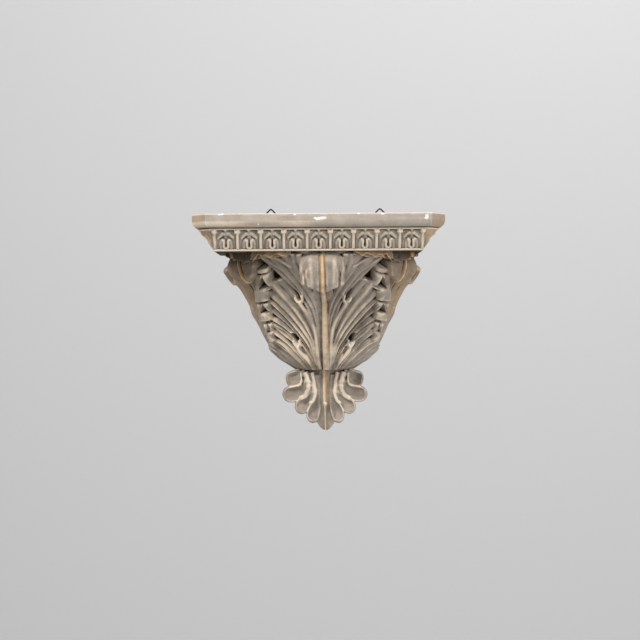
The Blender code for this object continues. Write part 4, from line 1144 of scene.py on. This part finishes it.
def leafPaint(points, normals, fields):
    # painted shade in umber in the deep gaps and at the top of the corner tips, ochre on the midrib, the
    # corner tips and the leaf edges near the wall, a painted highlight down the midrib's left side
    local = points.copy()
    local[:, 0] -= leanAt(local[:, 2])
    x, y, z = local.T
    share = (z - neck) / bell["height"]
    angle = np.degrees(np.arctan2(-x, -y))
    stand = np.hypot(x, y) - bellRadius(share)
    # painted shade: umber where the skin lies deep below the bell's surface, in the gaps between lobes
    fields["dirtAndShade"] += 0.42 * smooth(-stand, 0.0015, 0.0080) * smooth(-y, 0.002, 0.02)
    rib = (1 - smooth(np.abs(x - ribShift(z)), 0.0038, 0.0058)) * smooth(stand, 0.002, 0.005)
    fields["gold"] = np.maximum(0.85 * rib, 0.40 * smooth(np.abs(angle), 47, 62) * smooth(share, 0.35, 0.55))
    fields["dirtAndShade"] += 0.42 * smooth(np.abs(angle), 72, 78) * smooth(share, 0.72, 0.80)
    onRim = smooth(share, 0.935, 0.960) * smooth(stand, 0.006, 0.009)
    fields["gold"] = np.maximum(fields["gold"], 0.65 * onRim)
    # painted highlight: cream on the midrib's faces turned left, towards the key light, over the rubbed rib
    fields["wear"] += (0.46 - 0.42 * smooth(share, 0.62, 0.72)) * rib * smooth(-normals[:, 0], -0.9, 0.0)
    fields["dirtAndShade"] *= 1 - 0.8 * rib * (share < 0.7)
    fields["dirtAndShade"] += 0.20 * smooth(stand, 0.012, 0.018) * (np.abs(x) < 0.045)
    # ochre showing where the paint is off at the central tip's lower left
    mark = np.hypot((points[:, 0] - tipMark["x"]) / tipMark["wide"], (z - tipMark["z"]) / tipMark["high"])
    mark = mark + 0.5 * noise(points, 0.004, 35)
    mark = smooth(-mark, -1.0, -0.6) * (y < -0.150)
    fields["gold"] = np.maximum(fields["gold"], mark)
    fields["wear"] += 0.45 * mark
    tip = curledTips["corner"]
    turn = math.radians(tip["angle"])
    out = np.abs(x) * math.sin(turn) - y * math.cos(turn)
    side = (-np.abs(x) * math.cos(turn) - y * math.sin(turn)) * -1 / (tip["width"] / 2)
    along = (soffit - z) / tip["length"]
    off = np.abs(-side - tip["rib"][0] - tip["rib"][1] * along)
    onTip = smooth(out, tip["reach"] - 0.030, tip["reach"] - 0.020) * (along < 1.05) * (np.abs(side) < 1.05)
    onRib = 1 - smooth(off, 0.07, 0.13)
    fields["gold"] = np.maximum(fields["gold"], onTip * (0.25 + 0.9 * onRib))
    # off its rib the corner tip is darker brown, and darker still near the top under the rim: painted shade
    fields["dirtAndShade"] += onTip * (1 - onRib) * (0.30 + 0.35 * smooth(-along, -0.45, -0.05))
    fields["wear"] *= 1 - 0.5 * onTip * (1 - onRib)
    radius = bellRadius(share)
    for a, b, wide in ((18.0, .600, 0.0060), (26.8, .222, 0.0060)):
        for way in (1, -1):
            du, dv = np.radians(way * angle - a) * radius, (share - b) * bell["height"]
            gap = np.hypot(du, dv * 1.2) / wide + 0.35 * noise(points, 0.004, 31)
            spot = smooth(-gap, -1.0, -0.5) * smooth(stand, 0.002, 0.005)
            fields["wear"] += (0.60 if way > 0 else 1.20) * spot
            fields["gold"] += (0.80 if way > 0 else 0.0) * spot
            fields["chip"] += (0.0 if way > 0 else 0.75) * spot
    middleLines = leafLobes["middle"]["lines"]
    worn = [path for path, wide in leafPipes[:5]] + [middleLines[3], leafLobes["middleLow"]["lines"][1]]
    worn += middleLines[1:3] + leafLobes["lower"]["lines"] + leafLobes["lowest"]["lines"][:1]
    run, rise = np.radians(np.abs(angle)) * radius, share * bell["height"]
    for path in worn:
        smoothPath = pathThrough(path, np.linspace(0, 1, 25))
        lineAngle, lineShare = smoothPath.T
        line = np.stack([np.radians(lineAngle) * bellRadius(lineShare), lineShare * bell["height"]], -1)
        near = 1 - smooth(segmentGap(run, rise, line), 0.0008, 0.0030)
        near = near * smooth(stand, 0.0005, 0.003) * smooth(noise(points, 0.02, 33), -0.8, 0.3)
        fields["wear"] += 0.48 * near
        fields["gold"] += 0.45 * near * (angle > 0)


def dropPaint(points, normals, fields):
    # ochre on the rib, cream on the pipes and the boss, a painted highlight on the rib's left side, painted
    # shade in umber behind the lobes
    local = points.copy()
    local[:, 0] -= leanAt(local[:, 2])
    x, y, z = local.T
    off = -y - dropDepth(x, z)
    rib = (1 - smooth(np.abs(x), 0.0034, 0.0050)) * smooth(off, 0.0, 0.002)
    fields["gold"] = 0.85 * rib
    # painted highlight: cream on the rib's faces turned left, towards the key light
    fields["wear"] += 0.62 * rib * smooth(-normals[:, 0], -0.5, 0.4)
    # painted shade: umber where the skin lies back behind the lobes
    fields["dirtAndShade"] += 0.3 * smooth(-off, 0.003, 0.010) * smooth(-y, 0.004, 0.012)
    for path, wide in dropPipes:
        path = np.array(path) * [drop["width"] / 2, drop["length"]]
        gap = segmentGap(np.abs(x), neck - z, path)
        near = 1 - smooth(gap, wide[0] * 0.5, wide[0] * 1.1)
        fields["wear"] += 0.60 * near * smooth(off, wide[2] * 0.6, wide[2] + 0.001)
    for line, _, wide, _, forward in dropLobes:
        path = pathThrough(np.array(line) * [drop["width"] / 2, drop["length"]], np.linspace(0.35, 0.80, 10))
        ring = hill(segmentGap(np.abs(x), neck - z, path) / wide, 0.88, 0.26)
        fields["wear"] += 0.55 * ring * smooth(off - forward, -0.0008, 0.0010)
    boss = np.hypot(x, z - bossHeight)
    fields["wear"] += 0.7 * smooth(-boss, -0.0038, -0.0026) * smooth(off, 0.002, 0.004)


# Hanging loops

loops = {
    "wire": 0.0023, "width": 0.018, "rise": 0.019, "bendHeight": 0.012, "left": -0.076, "right": 0.098,
    "fromWall": 0.0045, "notchHeight": 0.016, "notchWidth": 0.026, "notchDepth": 0.009,
    "socket": 0.012, "gap": 0.0003,
}


def wireLoop(name, x):
    # a round profile carried along the bent wire's path, with its ends closed
    foot = shelf["top"] - loops["notchHeight"] - loops["socket"] + loops["gap"]
    bend = shelf["top"] + loops["bendHeight"] - loops["wire"] / 2
    apex = shelf["top"] + loops["rise"] - loops["wire"] / 2
    w = loops["width"] / 2
    leftLeg = [(-w, foot + (bend - 0.002 - foot) * k / 6) for k in range(7)]
    leftLeg += [(-w + 0.0002, bend - 0.0009), (-w + 0.0010, bend - 0.0001)]
    leftLeg += [(-w * 0.62, bend + (apex - bend) * 0.33), (-0.0024, apex - 0.0013), (-0.0010, apex - 0.0003)]
    path = leftLeg + [(0.0, apex)] + [(-a, b) for a, b in leftLeg[::-1]]
    rows, cols = gridShares(150, 17)
    s = rows[:, 0]
    middle = pathThrough(path, s)
    ahead = pathThrough(path, np.clip(s + 0.004, 0, 1)) - pathThrough(path, np.clip(s - 0.004, 0, 1))
    ahead = ahead / np.linalg.norm(ahead, axis=1, keepdims=True)
    turn = 2 * np.pi * cols[:, :-1]
    r = loops["wire"] / 2 * 0.995
    px = x + middle[:, :1] + r * np.cos(turn) * ahead[:, 1:]
    pz = middle[:, 1:] - r * np.cos(turn) * ahead[:, :1]
    py = -loops["fromWall"] + r * np.sin(turn) + 0 * px
    ring = np.stack([px, py, pz], -1)
    n, m = ring.shape[:2]
    i = np.arange(n * m).reshape(n, m)
    quads = np.stack([i[:-1], np.roll(i, -1, 1)[:-1], np.roll(i, -1, 1)[1:], i[1:]], -1).reshape(-1, 4)
    piece = newMesh(name, [(ring.reshape(-1, 3), quads)])
    shape = bmesh.new()
    shape.from_mesh(piece.data)
    bmesh.ops.holes_fill(shape, edges=[e for e in shape.edges if e.is_boundary], sides=0)
    bmesh.ops.recalc_face_normals(shape, faces=shape.faces)
    shape.to_mesh(piece.data)
    shape.free()
    return piece


def cutNotches(piece):
    # recess and sockets for each loop at the back of the top
    for x in (loops["left"], loops["right"]):
        floor = shelf["top"] - loops["notchHeight"]
        cut(piece, block("notch", (x - loops["notchWidth"] / 2, -loops["notchDepth"], floor),
                         (x + loops["notchWidth"] / 2, 0.006, shelf["top"] + 0.006)))
        for leg in (-1, 1):
            mesh = bpy.data.meshes.new("socket")
            shape = bmesh.new()
            radius = loops["wire"] / 2 + loops["gap"]
            over = 0.004  # how far the cutter stands above the notch's floor
            bmesh.ops.create_cone(shape, cap_ends=True, segments=16, radius1=radius, radius2=radius,
                                  depth=loops["socket"] + over)
            place = (x + leg * loops["width"] / 2, -loops["fromWall"], floor - loops["socket"] / 2 + over / 2)
            bmesh.ops.translate(shape, verts=shape.verts, vec=place)
            shape.to_mesh(mesh)
            shape.free()
            tool = bpy.data.objects.new("socket", mesh)
            bpy.context.scene.collection.objects.link(tool)
            cut(piece, tool)


def shade(piece, sharp=40):
    piece.data.shade_smooth()
    piece.data.set_sharp_from_angle(angle=math.radians(sharp))


def stage():
    # a seamless pale floor and sweep well behind, so that every side of the shelf can be seen
    gap, floor, far, radius = sceneSize["wallGap"], sceneSize["floor"], sceneSize["reach"], 0.8
    turn = np.linspace(0, np.pi / 2, 17)
    y = np.concatenate([[-far], gap - radius + radius * np.sin(turn), [gap]])
    z = np.concatenate([[floor], floor + radius - radius * np.cos(turn), [far]])
    x = np.array([-far, far])
    grid = np.stack(np.broadcast_arrays(x[None, :], y[:, None], z[:, None]), -1)
    i = np.arange(grid.shape[0] * 2).reshape(-1, 2)
    quads = np.stack([i[:-1, 0], i[:-1, 1], i[1:, 1], i[1:, 0]], -1)
    mesh = bpy.data.meshes.new("backdrop")
    mesh.from_pydata(grid.reshape(-1, 3).tolist(), [], quads.tolist())
    mesh.shade_smooth()
    piece = bpy.data.objects.new("backdrop", mesh)
    bpy.context.scene.collection.objects.link(piece)
    material = bpy.data.materials.new("paleSweep")
    material.use_nodes = True
    material.node_tree.nodes["Principled BSDF"].inputs["Base Color"].default_value = linear("#cccccc")
    material.node_tree.nodes["Principled BSDF"].inputs["Roughness"].default_value = 0.9
    mesh.materials.append(material)


lights = {
    # place, aim, size in metres, power in watts
    "key": ((-1.5, -2.0, 1.8), (0, -0.1, -0.12), 0.8, 68),
    "fill": ((2.2, -1.8, 0.2), (0, -0.1, -0.12), 1.6, 32),
    "sweep": ((1.1, 0.3, 3.0), (0.9, 1.9, -0.2), 2.5, 88),
}


def lightsAndCamera():
    for name, (place, aim, size, power) in lights.items():
        lamp = bpy.data.lights.new(name, "AREA")
        lamp.shape, lamp.size, lamp.energy = "SQUARE", size, power
        thing = bpy.data.objects.new(name, lamp)
        bpy.context.scene.collection.objects.link(thing)
        thing.location = place
        thing.rotation_euler = (Vector(aim) - Vector(place)).to_track_quat("-Z", "Y").to_euler()
    world = bpy.data.worlds.new("softDaylight")
    world.use_nodes = True
    world.node_tree.nodes["Background"].inputs["Color"].default_value = linear("#e4e4e4")
    world.node_tree.nodes["Background"].inputs["Strength"].default_value = 0.42
    bpy.context.scene.world = world
    bpy.context.scene.view_settings.view_transform = "Standard"
    lens = bpy.data.cameras.new("camera")
    lens.sensor_width, lens.lens = 36.0, 36 * 1750 / 640
    lens.clip_start, lens.clip_end = 0.05, 50
    camera = bpy.data.objects.new("camera", lens)
    bpy.context.scene.collection.objects.link(camera)
    camera.location = (0.0013, -2.8, -0.141)
    camera.rotation_euler = (math.pi / 2, math.radians(0.36), 0)
    bpy.context.scene.camera = camera


lightsAndCamera()
stage()
print("light, camera and sweep ready")

worn, iron = wornPaint(), ironWire()

moulding = shelfMoulding()
print("moulding", triangleCount(moulding), "triangles")
cutNotches(moulding)
wearDirtAndShade(moulding, 3, 10, shelfPaint)
leaves = acanthusBell()
wearDirtAndShade(leaves, 3, 12, leafPaint)
palmette = palmetteShape()
wearDirtAndShade(palmette, 3, 12, dropPaint)
for piece in (moulding, leaves, palmette):
    piece.data.materials.clear()
    piece.data.materials.append(worn)
    shade(piece, 50)
    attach(piece, "root")
    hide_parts("plaster_bracket")
    print(piece.name, triangleCount(piece), "triangles")

for side in ("left", "right"):
    loop = wireLoop("wireLoop" + side.capitalize(), loops[side])
    loop.data.materials.append(iron)
    shade(loop, 60)
    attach(loop, "root")
    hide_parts("hanging_loop_" + side)
print("wire loops bent")
